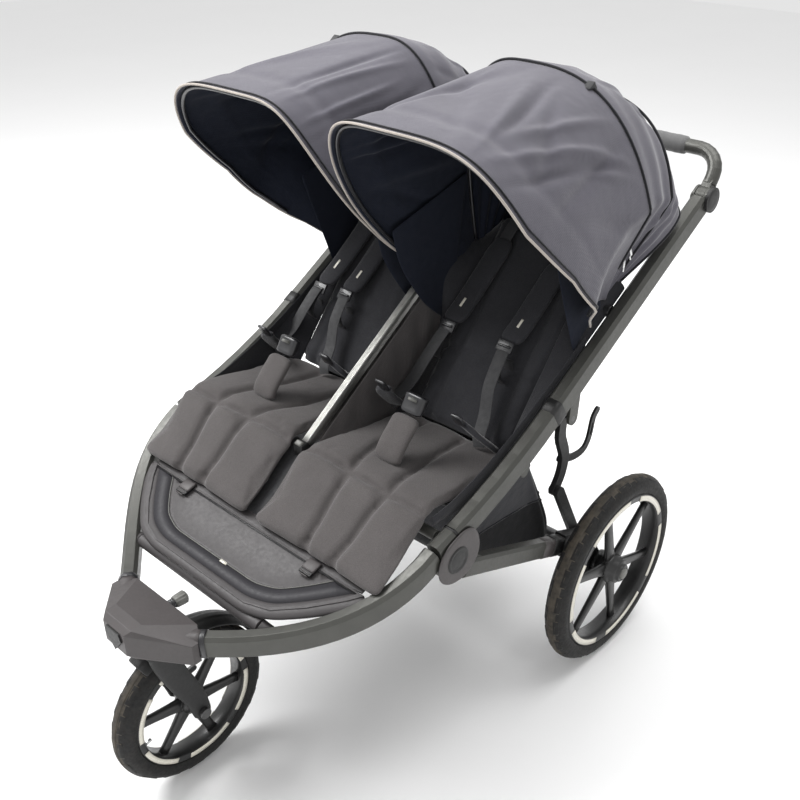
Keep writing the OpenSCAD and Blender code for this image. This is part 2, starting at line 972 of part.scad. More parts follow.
on_side(-1) upper_tube();  // upper_tube_left
upper_tube();  // upper_tube_right
hub_covers();
pivot_pins();
center_rail();
seat_crossbars();
on_side(-1) seat_cushion();  // seat_cushion_left
seat_cushion();  // seat_cushion_right
seat_sides();
on_side(-1) crotch_buckle();  // crotch_buckle_left
crotch_buckle();  // crotch_buckle_right
on_side(-1) hood_rear();  // hood_rear_left
hood_rear();  // hood_rear_right
handle_hinges();
on_side(-1) backrest();  // backrest_left
backrest();  // backrest_right
on_side(-1) shoulder_pads();  // shoulder_pads_left
shoulder_pads();  // shoulder_pads_right
on_side(-1) hood_visor();  // hood_visor_left
hood_visor();  // hood_visor_right
on_side(-1) hood_bow();  // hood_bow_left
hood_bow();  // hood_bow_right
on_side(-1) hood_lip();  // hood_lip_left
hood_lip();  // hood_lip_right
handlebar();
handle_grip();
on_side(-1) handle_button();  // handle_button_left
handle_button();  // handle_button_right
on_side(-1) front_tube();  // front_tube_left
front_tube();  // front_tube_right
nose_head();
nose_cap();
footrest_tray();
footrest_clips();
swivel_knob();
fork();
mudguard();
front_tyre();
front_rim();
front_axle();
skewer_lever();
on_side(-1) chassis_tube();  // chassis_tube_left
chassis_tube();  // chassis_tube_right
axle_blocks();
rear_axle();
basket();
rear_tyre(-1);  // rear_tyre_left
rear_tyre(1);  // rear_tyre_right
rear_rim(-1);  // rear_rim_left
rear_rim(1);  // rear_rim_right
wheel_button(-1);  // wheel_button_left
wheel_button(1);  // wheel_button_right
brake_pedal();
on_side(-1) brake_pin();  // brake_pin_left
brake_pin();  // brake_pin_right
on_side(-1) strut_upper();  // strut_upper_left
strut_upper();  // strut_upper_right
on_side(-1) strut_lower();  // strut_lower_left
strut_lower();  // strut_lower_right
fold_hook();
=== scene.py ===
"""Looks of a side-by-side jogging stroller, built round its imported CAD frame.

Shapes are written in millimetres, in the frame's own directions: +X is the right side seen from the
front, -Y is the front and +Z is up. mesh_piece() turns them into metres.
"""

import json
import math

import bmesh
import bpy
import numpy as np
from mathutils import Matrix, Vector


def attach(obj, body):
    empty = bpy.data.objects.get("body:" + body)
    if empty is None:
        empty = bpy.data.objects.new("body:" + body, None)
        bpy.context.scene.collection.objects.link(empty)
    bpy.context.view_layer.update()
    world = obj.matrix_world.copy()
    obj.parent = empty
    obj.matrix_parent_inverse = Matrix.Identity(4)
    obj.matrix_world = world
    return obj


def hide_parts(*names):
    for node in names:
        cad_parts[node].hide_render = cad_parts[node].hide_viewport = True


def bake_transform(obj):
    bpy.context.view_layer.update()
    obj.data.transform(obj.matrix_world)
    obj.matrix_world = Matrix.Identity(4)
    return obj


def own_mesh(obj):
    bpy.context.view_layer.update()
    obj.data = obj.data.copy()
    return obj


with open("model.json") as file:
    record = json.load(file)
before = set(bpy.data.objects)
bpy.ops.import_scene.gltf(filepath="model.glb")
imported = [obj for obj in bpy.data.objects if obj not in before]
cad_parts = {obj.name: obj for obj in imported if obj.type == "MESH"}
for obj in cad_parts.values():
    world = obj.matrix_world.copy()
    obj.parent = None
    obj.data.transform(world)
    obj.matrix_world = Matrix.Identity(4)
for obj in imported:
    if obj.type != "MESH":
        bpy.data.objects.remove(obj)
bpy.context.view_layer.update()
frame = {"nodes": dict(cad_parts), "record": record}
SIDES = (("right", 1), ("left", -1))

# ---- Materials ----


class Shader:
    """Node tree of one material, with short calls to add and join nodes."""

    def __init__(self, name):
        self.material = bpy.data.materials.new(name)
        self.material.use_nodes = True
        self.tree = self.material.node_tree
        self.surface = self.tree.nodes["Principled BSDF"]

    def add(self, kind, values=(), **settings):
        node = self.tree.nodes.new("ShaderNode" + kind)
        for key, value in settings.items():
            setattr(node, key, value)
        for key, value in dict(values).items():
            if isinstance(value, bpy.types.NodeSocket):
                self.tree.links.new(value, node.inputs[key])
            else:
                node.inputs[key].default_value = value
        return node

    def place(self):
        return self.add("TexCoord").outputs["Object"]

    def noise(self, scale, detail=3.0):
        values = {"Vector": self.place(), "Scale": scale, "Detail": detail}
        return self.add("TexNoise", values).outputs["Fac"]

    def math(self, operation, a, b):
        return self.add("Math", {0: a, 1: b}, operation=operation).outputs[0]

    def span(self, value, low, high, start=0.3, end=0.7):
        values = {"Value": value, 1: start, 2: end, 3: low, 4: high}
        return self.add("MapRange", values).outputs[0]

    def mix(self, share, a, b):
        node = self.add("Mix", {"Factor": share, 6: a, 7: b}, data_type="RGBA")
        return node.outputs[2]

    def bump(self, height, strength, distance, normal=None):
        values = {"Height": height, "Strength": strength, "Distance": distance}
        if normal is not None:
            values["Normal"] = normal
        return self.add("Bump", values).outputs["Normal"]

    def set(self, **values):
        for key, value in values.items():
            socket = self.surface.inputs[key.replace("_", " ")]
            if isinstance(value, bpy.types.NodeSocket):
                self.tree.links.new(value, socket)
            else:
                socket.default_value = value


def rgba(color):
    return (*color, 1.0)


def shade(color, share):
    return rgba([min(c * share, 1) for c in color])


def weave(s, period):
    """Height of a plain weave: threads across X, and across the slope of Y and Z."""
    scale = 2 * math.pi / (20 * period)
    across = s.add("TexWave", {"Vector": s.place(), "Scale": scale}, bands_direction="X")
    along = s.add("TexWave", {"Vector": s.place(), "Scale": scale * 0.8}, bands_direction="DIAGONAL")
    return s.math("MAXIMUM", across.outputs["Fac"], along.outputs["Fac"])


def fabric(name, color, period=0.0014, heather=0.35, sheen=0.25, roughness=0.9):
    """Woven cloth with threads, a heathered colour and soft, uneven dye."""
    s = Shader(name)
    speckle = s.span(s.noise(950, 2), 0, 1)
    yarn = s.mix(speckle, shade(color, 1 - heather), shade(color, 1 + heather))
    dye = s.mix(s.span(s.noise(14), 0, 1), shade((1, 1, 1), 0.9), rgba((1, 1, 1)))
    dyed = s.add("Mix", {"Factor": 1.0, 6: yarn, 7: dye}, data_type="RGBA", blend_type="MULTIPLY")
    s.set(Base_Color=dyed.outputs[2])
    s.set(Roughness=s.span(s.noise(60), roughness - 0.06, roughness + 0.06))
    s.set(Sheen_Weight=sheen, Sheen_Roughness=0.4, Specular_IOR_Level=0.25)
    creases = s.bump(s.noise(45, 4), 0.25, 0.004)
    s.set(Normal=s.bump(weave(s, period), 0.5, 0.0004, creases))
    return s.material


def webbing(name, color):
    """Narrow strap cloth with close ribs."""
    s = Shader(name)
    ribs = s.add("TexWave", {"Vector": s.place(), "Scale": 180.0}, bands_direction="DIAGONAL")
    s.set(Base_Color=s.mix(ribs.outputs["Fac"], shade(color, 0.75), shade(color, 1.2)))
    s.set(Roughness=s.span(s.noise(120), 0.6, 0.8), Sheen_Weight=0.15)
    s.set(Normal=s.bump(ribs.outputs["Fac"], 0.5, 0.0005))
    return s.material


def hard(name, color, roughness, metallic=0.0, edge=0.0015, wear=0.25, grain=0.15, coat=0.0):
    """Metal or moulded plastic with rounded edges that wear lighter, and a fine grain."""
    s = Shader(name)
    rounded = s.add("Bevel", {"Radius": edge}, samples=4).outputs["Normal"]
    flat = s.add("NewGeometry").outputs["Normal"]
    turn = s.add("VectorMath", {0: rounded, 1: flat}, operation="DOT_PRODUCT").outputs["Value"]
    rubbed = s.math("MULTIPLY", s.span(turn, 1, 0, 0.86, 0.99), s.span(s.noise(90), 0, wear))
    base = s.mix(s.span(s.noise(25), 0, 1), shade(color, 0.92), shade(color, 1.08))
    s.set(Base_Color=s.mix(rubbed, base, shade(color, 2.2)))
    s.set(Roughness=s.span(s.noise(160), roughness - 0.05, roughness + 0.07), Metallic=metallic)
    s.set(Normal=s.bump(s.noise(1400, 2), grain, 0.0003, rounded), Coat_Weight=coat)
    return s.material


def rubber(name, color, tread):
    """Tyre rubber: dark walls, and a dustier tread where the surface faces away from the wheel."""
    s = Shader(name)
    dust = s.span(s.noise(70, 5), 0, 1, 0.35, 0.65)
    s.set(Base_Color=s.mix(dust, rgba(color), rgba(tread)))
    s.set(Roughness=s.span(s.noise(200), 0.6, 0.8), Specular_IOR_Level=0.35)
    s.set(Normal=s.bump(s.noise(700, 4), 0.3, 0.0006))
    return s.material


def reflective(name, color):
    """Retroreflective tape: fine cells under a thin clear layer."""
    s = Shader(name)
    cells = s.add("TexVoronoi", {"Vector": s.place(), "Scale": 700.0}).outputs["Distance"]
    s.set(Base_Color=s.mix(s.span(cells, 0, 1, 0.1, 0.8), shade(color, 1.1), shade(color, 0.85)))
    s.set(Roughness=s.span(s.noise(80), 0.3, 0.45), Coat_Weight=0.4)
    s.set(Normal=s.bump(cells, 0.2, 0.0003))
    return s.material


def ground(name, color):
    s = Shader(name)
    s.set(Base_Color=s.mix(s.span(s.noise(1.5), 0, 1), shade(color, 0.99), rgba(color)))
    s.set(Roughness=0.95, Specular_IOR_Level=0.1)
    return s.material


FINISH = {
    "frame_tube": hard("tube_grey", (0.066, 0.066, 0.06), 0.38, 0.45),
    "black_casting": hard("casting_black", (0.006, 0.006, 0.006), 0.5),
    "nose_plastic": hard("nose_grey", (0.05, 0.044, 0.044), 0.48),
    "grey_plastic": hard("button_grey", (0.13, 0.13, 0.12), 0.45),
    "silver_rail": hard("rail_silver", (0.42, 0.42, 0.4), 0.32, 0.85),
    "steel": hard("steel_dark", (0.12, 0.12, 0.12), 0.35, 0.9),
    "seat_fabric": fabric("seat_cloth", (0.086, 0.079, 0.078), heather=0.22),
    # Painted shade: a darker copy of the seat cloth that stands for the hoods' shade over the backrest and
    # side cloths
    "side_fabric": fabric("side_cloth_painted_shade", (0.03, 0.03, 0.034), heather=0.3),
    "hood_fabric": fabric("hood_cloth", (0.098, 0.094, 0.112), heather=0.16, sheen=0.3),
    "lining": fabric("lining_cloth", (0.012, 0.015, 0.026), heather=0.3, sheen=0.1),
    "basket_fabric": fabric("basket_cloth", (0.006, 0.006, 0.007), heather=0.3, sheen=0.1),
    "webbing": webbing("strap_grey", (0.03, 0.03, 0.032)),
    "dark_webbing": webbing("strap_black", (0.012, 0.012, 0.014)),
    "buckle": hard("buckle_black", (0.014, 0.014, 0.016), 0.35, coat=0.2),
    "tyre": rubber("tyre_rubber", (0.007, 0.007, 0.007), (0.012, 0.011, 0.01)),
    "tread": rubber("tread_rubber", (0.03, 0.026, 0.021), (0.065, 0.055, 0.042)),
    "rim": hard("rim_black", (0.009, 0.009, 0.009), 0.35, coat=0.1),
    "tray": hard("tray_grey", (0.046, 0.042, 0.043), 0.55, grain=0.4),
    # Painted shade: the darker band stands for the shaded front wall of the tray
    "tray_band": hard("tray_band_painted_shade", (0.018, 0.017, 0.021), 0.6, grain=0.4),
    "grip_foam": fabric("grip_foam_grey", (0.12, 0.12, 0.12), period=0.003, heather=0.2, roughness=0.85),
    "piping": fabric("piping_cream", (0.42, 0.38, 0.34), period=0.001, heather=0.08),
    "dark_piping": fabric("piping_black", (0.015, 0.015, 0.018), period=0.001, heather=0.1),
    "reflector": reflective("reflector_cream", (0.72, 0.69, 0.6)),
    "chrome": hard("chrome", (0.6, 0.6, 0.6), 0.15, 1.0),
}
SLOTS = {part["node"]: part["material_slot"] for part in frame["record"]["subparts"]}
for node_name, cad_object in frame["nodes"].items():
    cad_object.data.materials.clear()
    cad_object.data.materials.append(FINISH[SLOTS[node_name]])

# ---- Mesh helpers ----


def mesh_piece(name, shape, body, finish, side=1, smooth=True, flat_above=None):
    """Makes a piece from (points in mm, faces), mirrored for side -1, riding on a body."""
    points, faces = np.array(shape[0], float), shape[1]
    if side < 0:
        points = points * [-1, 1, 1]
        faces = [tuple(reversed(f)) for f in faces]
    mesh = bpy.data.meshes.new(name)
    mesh.from_pydata([tuple(p) for p in points / 1000], [], [tuple(f) for f in faces])
    mesh.materials.append(FINISH[finish])
    obj = bpy.data.objects.new(name, mesh)
    bpy.context.scene.collection.objects.link(obj)
    for polygon in mesh.polygons:
        polygon.use_smooth = smooth
    if flat_above is not None:
        with bpy.context.temp_override(object=obj, active_object=obj, selected_editable_objects=[obj]):
            bpy.ops.object.shade_auto_smooth(angle=math.radians(flat_above))
    if body:
        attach(obj, body)
    return obj


def joined(shapes):
    """One (points, faces) from several."""
    points, faces, start = [], [], 0
    for p, f in shapes:
        points.append(np.array(p, float))
        faces += [tuple(i + start for i in face) for face in f]
        start += len(p)
    return np.concatenate(points), faces


def grid(rows, wrap=False, caps=False):
    """Quads over equal rows of points; wrap joins the ends of each row, caps close both end rows."""
    rows = np.array(rows, float)
    m, n = rows.shape[:2]
    faces = []
    for i in range(m - 1):
        for j in range(n if wrap else n - 1):
            k = (j + 1) % n
            faces.append((i * n + j, i * n + k, (i + 1) * n + k, (i + 1) * n + j))
    if caps:
        faces.append(tuple(range(n - 1, -1, -1)))
        faces.append(tuple((m - 1) * n + j for j in range(n)))
    return rows.reshape(-1, 3), faces


def unit(v):
    v = np.array(v, float)
    return v / np.linalg.norm(v, axis=-1, keepdims=True)


def smooth_path(points, steps=8):
    """Smooth curve through all the points."""
    p = np.array(points, float)
    p = np.vstack([2 * p[0] - p[1], p, 2 * p[-1] - p[-2]])
    out = []
    for a, b, c, d in zip(p, p[1:], p[2:], p[3:]):
        for t in np.linspace(0, 1, steps, endpoint=False):
            out.append(
                0.5 * (2 * b + (c - a) * t + (2 * a - 5 * b + 4 * c - d) * t**2
                       + (3 * b - a - 3 * c + d) * t**3)
            )
    return np.array(out + [p[-2]])


def sweep(path, section, up=(0, 0, 1), scale=None):
    """Sweeps a closed section along a path, its second axis kept near up."""
    path = np.array(path, float)
    tangent = unit(np.gradient(path, axis=0))
    side = unit(np.cross(tangent, np.broadcast_to(np.array(up, float), tangent.shape)))
    top = np.cross(side, tangent)
    section = np.array(section, float)
    scale = np.ones(len(path)) if scale is None else np.array(scale)
    rows = (
        path[:, None]
        + side[:, None] * section[None, :, 0, None] * scale[:, None, None]
        + top[:, None] * section[None, :, 1, None] * scale[:, None, None]
    )
    return grid(rows, wrap=True, caps=True)


def disc(radius, sides=12):
    a = np.linspace(0, 2 * np.pi, sides, endpoint=False)
    return np.stack([radius * np.cos(a), radius * np.sin(a)], 1)


def rounded_section(w, h, r, steps=3):
    """Rectangle with round corners, as section points."""
    out = []
    for cx, cy, start in ((1, 1, 0), (-1, 1, 90), (-1, -1, 180), (1, -1, 270)):
        for a in np.radians(np.linspace(start, start + 90, steps + 1)):
            out.append([cx * (w / 2 - r) + r * np.cos(a), cy * (h / 2 - r) + r * np.sin(a)])
    return out


def tube(path, radius, sides=12, up=(0.013, 0.02, 1)):
    return sweep(path, disc(radius, sides), up)


def strap(path, width, thick, across=(1, 0, 0)):
    """Flat webbing whose width lies near the across direction."""
    path = np.array(path, float)
    tangent = unit(np.gradient(path, axis=0))
    normal = np.cross(tangent, np.broadcast_to(np.array(across, float), tangent.shape))
    return sweep(path, rounded_section(width, thick, thick * 0.45, 2), unit(normal))


def lathe(profile, centre, segments=96, wrap=False):
    """Turns (radius, x) points about the X direction through centre."""
    profile = np.array(profile, float)
    a = np.linspace(0, 2 * np.pi, segments, endpoint=False)
    rows = [
        np.stack([np.full(segments, x), r * np.cos(a), r * np.sin(a)], 1) + centre
        for r, x in profile
    ]
    if wrap:
        rows.append(rows[0])
    return grid(rows, wrap=True)


def turned(shape, angle, centre, axis="X"):
    """Copy of a shape, turned about an axis through centre."""
    rotation = np.array(Matrix.Rotation(math.radians(angle), 3, axis))
    return (np.array(shape[0]) - centre) @ rotation.T + centre, shape[1]


def plate(outline, low, high, bevel=1.5, axis=0, segments=2):
    """Flat plate with bevelled edges. Its outline lies across the given axis, from low to high."""
    other = [i for i in range(3) if i != axis]
    bm = bmesh.new()
    corners = []
    for p in outline:
        q = [0.0, 0.0, 0.0]
        q[axis], q[other[0]], q[other[1]] = low, p[0], p[1]
        corners.append(bm.verts.new(q))
    face = bm.faces.new(corners)
    lifted = bmesh.ops.extrude_face_region(bm, geom=[face])["geom"]
    step = [0.0, 0.0, 0.0]
    step[axis] = high - low
    bmesh.ops.translate(bm, vec=step, verts=[v for v in lifted if isinstance(v, bmesh.types.BMVert)])
    bmesh.ops.recalc_face_normals(bm, faces=bm.faces)
    sharp = [e for e in bm.edges if e.calc_face_angle(0) > 0.5]
    if bevel:
        bmesh.ops.bevel(bm, geom=sharp, offset=bevel, segments=segments, profile=0.5, affect="EDGES")
    points = np.array([v.co for v in bm.verts])
    faces = [tuple(v.index for v in f.verts) for f in bm.faces]
    bm.free()
    return points, faces


def box(centre, size, bevel=2.0, turn=0, axis="X"):
    x, y, z = np.array(size, float) / 2
    shape = plate([(-y, -z), (y, -z), (y, z), (-y, z)], -x, x, min(bevel, 0.45 * min(size)))
    points = turned(shape, turn, np.zeros(3), axis)[0] + np.array(centre, float)
    return points, shape[1]


def subdivide(obj, levels=1):
    modifier = obj.modifiers.new("Subdivision", "SUBSURF")
    modifier.levels = modifier.render_levels = levels


def thicken(obj, thickness, offset=-1.0, inner=None):
    """Gives a sheet its thickness in mm, and another material on its inner face."""
    modifier = obj.modifiers.new("Thickness", "SOLIDIFY")
    modifier.thickness = thickness / 1000
    modifier.offset = offset
    if inner:
        obj.data.materials.append(FINISH[inner])
        modifier.material_offset = 1


def cloth(name, shape, body, finish, side, thickness=2.0, offset=0.0, inner=None, flip=False):
    """Sheet of cloth: a piece with its thickness in mm, smoothed once."""
    piece = mesh_piece(name, shape, body, finish, side)
    if flip:
        piece.data.flip_normals()
    thicken(piece, thickness, offset, inner)
    subdivide(piece)
    return piece


def coordinates(obj):
    co = np.empty(len(obj.data.vertices) * 3)
    obj.data.vertices.foreach_get("co", co)
    return co.reshape(-1, 3)


def set_coordinates(obj, points):
    obj.data.vertices.foreach_set("co", np.asarray(points, np.float32).ravel())
    obj.data.update()


def evaluated_points(obj):
    made = obj.evaluated_get(bpy.context.evaluated_depsgraph_get())
    mesh = made.to_mesh()
    co = np.empty(len(mesh.vertices) * 3)
    mesh.vertices.foreach_get("co", co)
    made.to_mesh_clear()
    return co.reshape(-1, 3)


def remesh(obj, voxel):
    """Even quads over the whole surface, with the same outside."""
    modifier = obj.modifiers.new("Remesh", "REMESH")
    modifier.mode = "VOXEL"
    modifier.voxel_size = voxel / 1000
    modifier.use_smooth_shade = True
    made = obj.evaluated_get(bpy.context.evaluated_depsgraph_get())
    mesh = bpy.data.meshes.new_from_object(made)
    obj.modifiers.clear()
    obj.data = mesh


def inflate(obj, voxel=5.0, pressure=4.0, cap=7.0):
    """Fills a closed pad by cloth simulation: each point moves at most cap mm."""
    remesh(obj, voxel)
    start = coordinates(obj)
    cloth = obj.modifiers.new("Cloth", "CLOTH")
    cloth.settings.use_pressure = True
    cloth.settings.uniform_pressure_force = pressure
    cloth.settings.effector_weights.gravity = 0
    cloth.settings.tension_stiffness = cloth.settings.compression_stiffness = 25
    cloth.collision_settings.use_collision = False
    cloth.point_cache.frame_start, cloth.point_cache.frame_end = 1, 20
    for step in range(1, 21):
        bpy.context.scene.frame_set(step)
    moved = evaluated_points(obj) - start
    obj.modifiers.clear()
    bpy.context.scene.frame_set(1)
    length = np.linalg.norm(moved, axis=1, keepdims=True)
    share = np.minimum(1, cap / 1000 / np.maximum(length, 1e-9))
    set_coordinates(obj, start + moved * share)


def sew(obj, lines, depth=5.0, width=7.0, puff=0.0):
    """Pulls a pad in along seam lines (points in mm), and lifts it a little beside them."""
    points = coordinates(obj) * 1000
    normals = np.array([v.normal for v in obj.data.vertices])
    near = np.full(len(points), 1e9)
    for line in lines:
        line = np.array(line, float)
        for a, b in zip(line, line[1:]):
            d = b - a
            t = np.clip(((points - a) @ d) / (d @ d), 0, 1)
            near = np.minimum(near, np.linalg.norm(points - a - t[:, None] * d, axis=1))
    beside = (near - 3 * width) / width / 1.5
    pull = depth * np.exp(-((near / width) ** 2)) - puff * np.exp(-(beside**2))
    set_coordinates(obj, (points - normals * pull[:, None]) / 1000)


def mirrored_copy(obj, name):
    """Copy of a piece on the other side of the stroller."""
    copy = obj.copy()
    copy.data = obj.data.copy()
    copy.name = name
    bpy.context.scene.collection.objects.link(copy)
    set_coordinates(copy, coordinates(copy) * [-1, 1, 1])
    copy.data.flip_normals()
    return copy


# ---- Camera, light and floor ----

FLOOR = 9000  # from the middle of the floor to its edges


def studio():
    yaw, pitch, roll = (math.radians(v) for v in (42.11, 30.67, 0.62))
    back = Vector((math.sin(yaw) * math.cos(pitch), -math.cos(yaw) * math.cos(pitch), math.sin(pitch)))
    right = Vector((math.cos(yaw), math.sin(yaw), 0))
    up = back.cross(right)
    across = right * math.cos(roll) + up * math.sin(roll)
    above = up * math.cos(roll) - right * math.sin(roll)
    camera = bpy.data.objects.new("camera", bpy.data.cameras.new("camera"))
    camera.data.lens = 44.198
    camera.data.sensor_width = 36
    camera.data.shift_x, camera.data.shift_y = -0.0270, 0.0239
    turn = Matrix((across, above, back)).transposed().to_4x4()
    camera.matrix_world = Matrix.Translation((1.11799, -1.09453, 1.44971)) @ turn
    bpy.context.scene.collection.objects.link(camera)
    bpy.context.scene.camera = camera

    def lamp(name, at, look_at, size, watts):
        data = bpy.data.lights.new(name, "AREA")
        data.size, data.energy = size, watts
        obj = bpy.data.objects.new(name, data)
        obj.location = at
        obj.rotation_euler = (Vector(look_at) - Vector(at)).to_track_quat("-Z", "Y").to_euler()
        bpy.context.scene.collection.objects.link(obj)

    lamp("key", (-1.9, -1.2, 3.1), (0, 0, 0.5), 1.8, 130)
    lamp("top", (0.3, 0.9, 3.6), (0, 0, 0.5), 2.6, 88)
    lamp("fill", (2.6, -2.4, 1.6), (0, 0, 0.5), 2.5, 7)
    world = bpy.data.worlds.new("studio")
    bpy.context.scene.world = world
    world.use_nodes = True
    world.node_tree.nodes["Background"].inputs[0].default_value = (1, 1, 1, 1)
    world.node_tree.nodes["Background"].inputs[1].default_value = 0.78
    bpy.context.scene.view_settings.view_transform = "Standard"
    corners = [[(x, y, 0) for x in (-FLOOR, FLOOR)] for y in (-FLOOR, FLOOR)]
    floor = mesh_piece("floor", grid(corners), None, "tyre")
    floor.data.materials.clear()
    floor.data.materials.append(ground("floor_pale", (0.93, 0.93, 0.93)))


# ---- Hoods ----

HOOD_IN, HOOD_OUT = 12.0, 302.0
SWELL_OUT, SWELL_IN = 100.0, 9.0  # how far the cloth stands out beside the bows
HOOD_PIVOT = np.array([280.0, 745.0])
REAR_SEAM, BOW, LIP = 43.0, 101.0, 138.7  # angles about the pivots
MIDDLE_SEAM = 77.0
SHELL = {"offset": -1.0, "inner": "lining", "flip": True}
FLAPS = (  # name, X, then the front and rear edges in Y and Z from the hood down
    ("inner", 20.0, [[40, 880], [61, 812], [112, 735], [150, 697], [172, 681]],
     [[235, 940], [222, 850], [211, 760], [204, 710], [190, 683]]),
    ("outer", 297.0, [[120, 890], [150, 810], [176, 745], [194, 700], [206, 690]],
     [[255, 930], [262, 850], [268, 780], [272, 750], [276, 738]]),
)


def power(v, n):
    return np.sign(v) * np.abs(v) ** n


def arch(reach, t, inset, square=0.72):
    """Hood arch at t degrees, from 0 on the inner side to 180 on the outer: x, distance and side."""
    c = power(np.cos(np.radians(t)), square)
    r = (reach - inset) * power(np.sin(np.radians(t)), square)
    half = (HOOD_OUT - HOOD_IN) / 2 - inset
    swell = np.minimum(r / 210, 1) ** 1.5 * (SWELL_OUT * np.maximum(-c, 0) - SWELL_IN * np.maximum(c, 0))
    return (HOOD_IN + HOOD_OUT) / 2 - half * c + swell, r, c


def around_pivot(x, r, angle):
    a = np.radians(angle)
    return np.stack([x, HOOD_PIVOT[0] + r * np.cos(a), HOOD_PIVOT[1] + r * np.sin(a)], -1)


def lip_angle(r, c):
    """Angle of the lip at distance r, on the inner side where c > 0: it runs down before the pivot."""
    distance = [36, 110, 200, 300, 430, 545]
    inner = np.interp(r, distance, [188, 167.5, 159, 152.3, 145, LIP])
    outer = np.interp(r, distance, [195, 166, 155, 148.5, 145, LIP])
    return np.where(c > 0, inner, outer)


def rear_reach(a):
    return np.interp(a, [43, 62, 77, 97, 101], [288, 317, 359, 410, 413])


def folds(u, v, seed, count, size, depth):
    """Height of a few soft folds over a sheet. u and v are places on it in mm, size its two sides."""
    rng = np.random.default_rng(seed)
    height = np.zeros(np.broadcast(u, v).shape)
    for _ in range(count):
        start = rng.uniform([0.1, 0.05], [0.9, 0.95]) * size
        lean, length = rng.uniform(-0.9, 0.9), rng.uniform(70, 210)
        width = rng.uniform(9, 17)
        d = np.array([math.cos(lean), math.sin(lean)])
        along = (u - start[0]) * d[0] + (v - start[1]) * d[1]
        off = (u - start[0]) * d[1] - (v - start[1]) * d[0] + 12 * np.sin(along / length * 2)
        fade = np.exp(-((along / length) ** 4))
        strength = rng.choice([-1, 1]) * depth * rng.uniform(0.5, 1)
        height = height + strength * fade * np.exp(-((off / width) ** 2))
    return height


def visor_point(f, t, inset=0.0):
    """Point of the visor: f from 0 at the bow to 1 at the lip."""
    x, r, c = arch(413 + 132 * f**1.5, t, inset, 0.72 - 0.27 * f)
    return around_pivot(x, r, BOW + (lip_angle(r, c) - BOW) * f)


def rear_point(a, t, inset):
    x, r, _ = arch(rear_reach(a), t, inset)
    return around_pivot(x, r, a)


def build_hood(name, side):
    seed = 3 if side > 0 else 8
    hood, lip, rear = f"hood_{name}", f"hood_lip_{name}", "upper_frame"

    def follow(piece, part):
        if part == "visor":
            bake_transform(piece)
        else:
            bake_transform(piece)

    # Visor: taut at the bow and the lip, slack between them, with a soft crease behind the lip
    f, t = np.meshgrid(np.linspace(0, 1, 37), np.linspace(0.8, 179.2, 131), indexing="ij")
    slack = np.sin(np.pi * f) ** 1.2
    crease = 3.5 * np.exp(-(((f - 0.76) / 0.035) ** 2)) * np.sin(np.radians(t))
    wrinkle = folds(f * 260, t * 7, seed, 22, np.array([260, 1218]), 9.0)
    inset = 0.8 + slack * (7 + wrinkle) + crease
    shape = grid(visor_point(f, t, inset))
    visor = cloth(f"hood_visor_cloth_{name}", shape, None, "hood_fabric", side, **SHELL)
    follow(visor, "visor")
    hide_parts(f"hood_visor_{name}")

    for part, share, body in (("bow", 0.0, hood), ("lip", 0.975, lip)):
        turn = np.linspace(4, 176, 120)
        hoop = tube(visor_point(np.full(120, share), turn, 7.0), 3.4, 10)
        wire = mesh_piece(f"hood_{part}_wire_{name}", hoop, body, "buckle", side)
        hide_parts(f"hood_{part}_{name}")
    edge_t = np.linspace(0.8, 179.2, 160)
    edge = tube(visor_point(np.ones(160), edge_t), 1.9, 8)
    trim = mesh_piece(f"hood_lip_piping_{name}", edge, None, "piping", side)
    follow(trim, "visor")
    band = visor_point(np.full(160, 0.97), edge_t, -0.2)
    hem = mesh_piece(f"hood_lip_hem_{name}", tube(band, 1.6, 6), None, "dark_piping", side)
    follow(hem, "visor")

    # Rear: cloth gathered in a few long folds between the bow and the rear seam
    a, t = np.meshgrid(np.linspace(REAR_SEAM, BOW, 49), np.linspace(1.5, 178.5, 111), indexing="ij")
    share = (a - REAR_SEAM) / (BOW - REAR_SEAM)
    gather = (0.5 - 0.5 * np.cos(2 * np.pi * share * 5)) * np.sin(np.pi * share) ** 0.5
    wander = folds(share * 300, t * 6, seed + 1, 18, np.array([300, 1080]), 6.0)
    inset = 16 - 15 * share + 5 * gather + wander * np.sin(np.pi * share)
    shape = grid(rear_point(a, t, inset))
    back = cloth(f"hood_rear_cloth_{name}", shape, None, "hood_fabric", side, **SHELL)
    follow(back, "rear")
    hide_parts(f"hood_rear_{name}")

    seam_t = np.linspace(7, 173, 120)
    ropes = [
        ("bow", BOW, -0.5, 2.2), ("seam", MIDDLE_SEAM, 5.5, 2.4), ("rear", REAR_SEAM, 15.5, 2.6),
    ]
    for rope, angle, inset, radius in ropes:
        rounded = tube(rear_point(np.full(120, angle), seam_t, inset), radius, 8)
        follow(mesh_piece(f"hood_{rope}_piping_{name}", rounded, None, "dark_piping", side), "rear")

    # Zipper pulls low on the outer side, and a folded loop on top of the bow
    for k, turn in enumerate((0, 24)):
        at = rear_point(np.array(BOW - 3.0), np.array(172.0 - 3 * k), 0.0) + [3.4, 0, 0]
        pull = joined([box(at, (2, 5, 14), 0.8, turn), box(at + [0, 0, -10], (1.5, 3.5, 8), 0.6, turn)])
        mesh_piece(f"zip_pull_{k + 1}_{name}", pull, hood, "chrome", side)
    top = rear_point(np.array(BOW), np.array(112.0), 0.0)
    outline = [(top[1] - 11, top[2] - 2), (top[1] + 10, top[2] - 4), (top[1] + 2, top[2] + 8)]
    loop = plate(outline, top[0] - 7, top[0] + 7, 1)
    mesh_piece(f"hood_loop_{name}", loop, hood, "dark_webbing", side)
    build_flaps(name, side)
    build_drop(name, side)


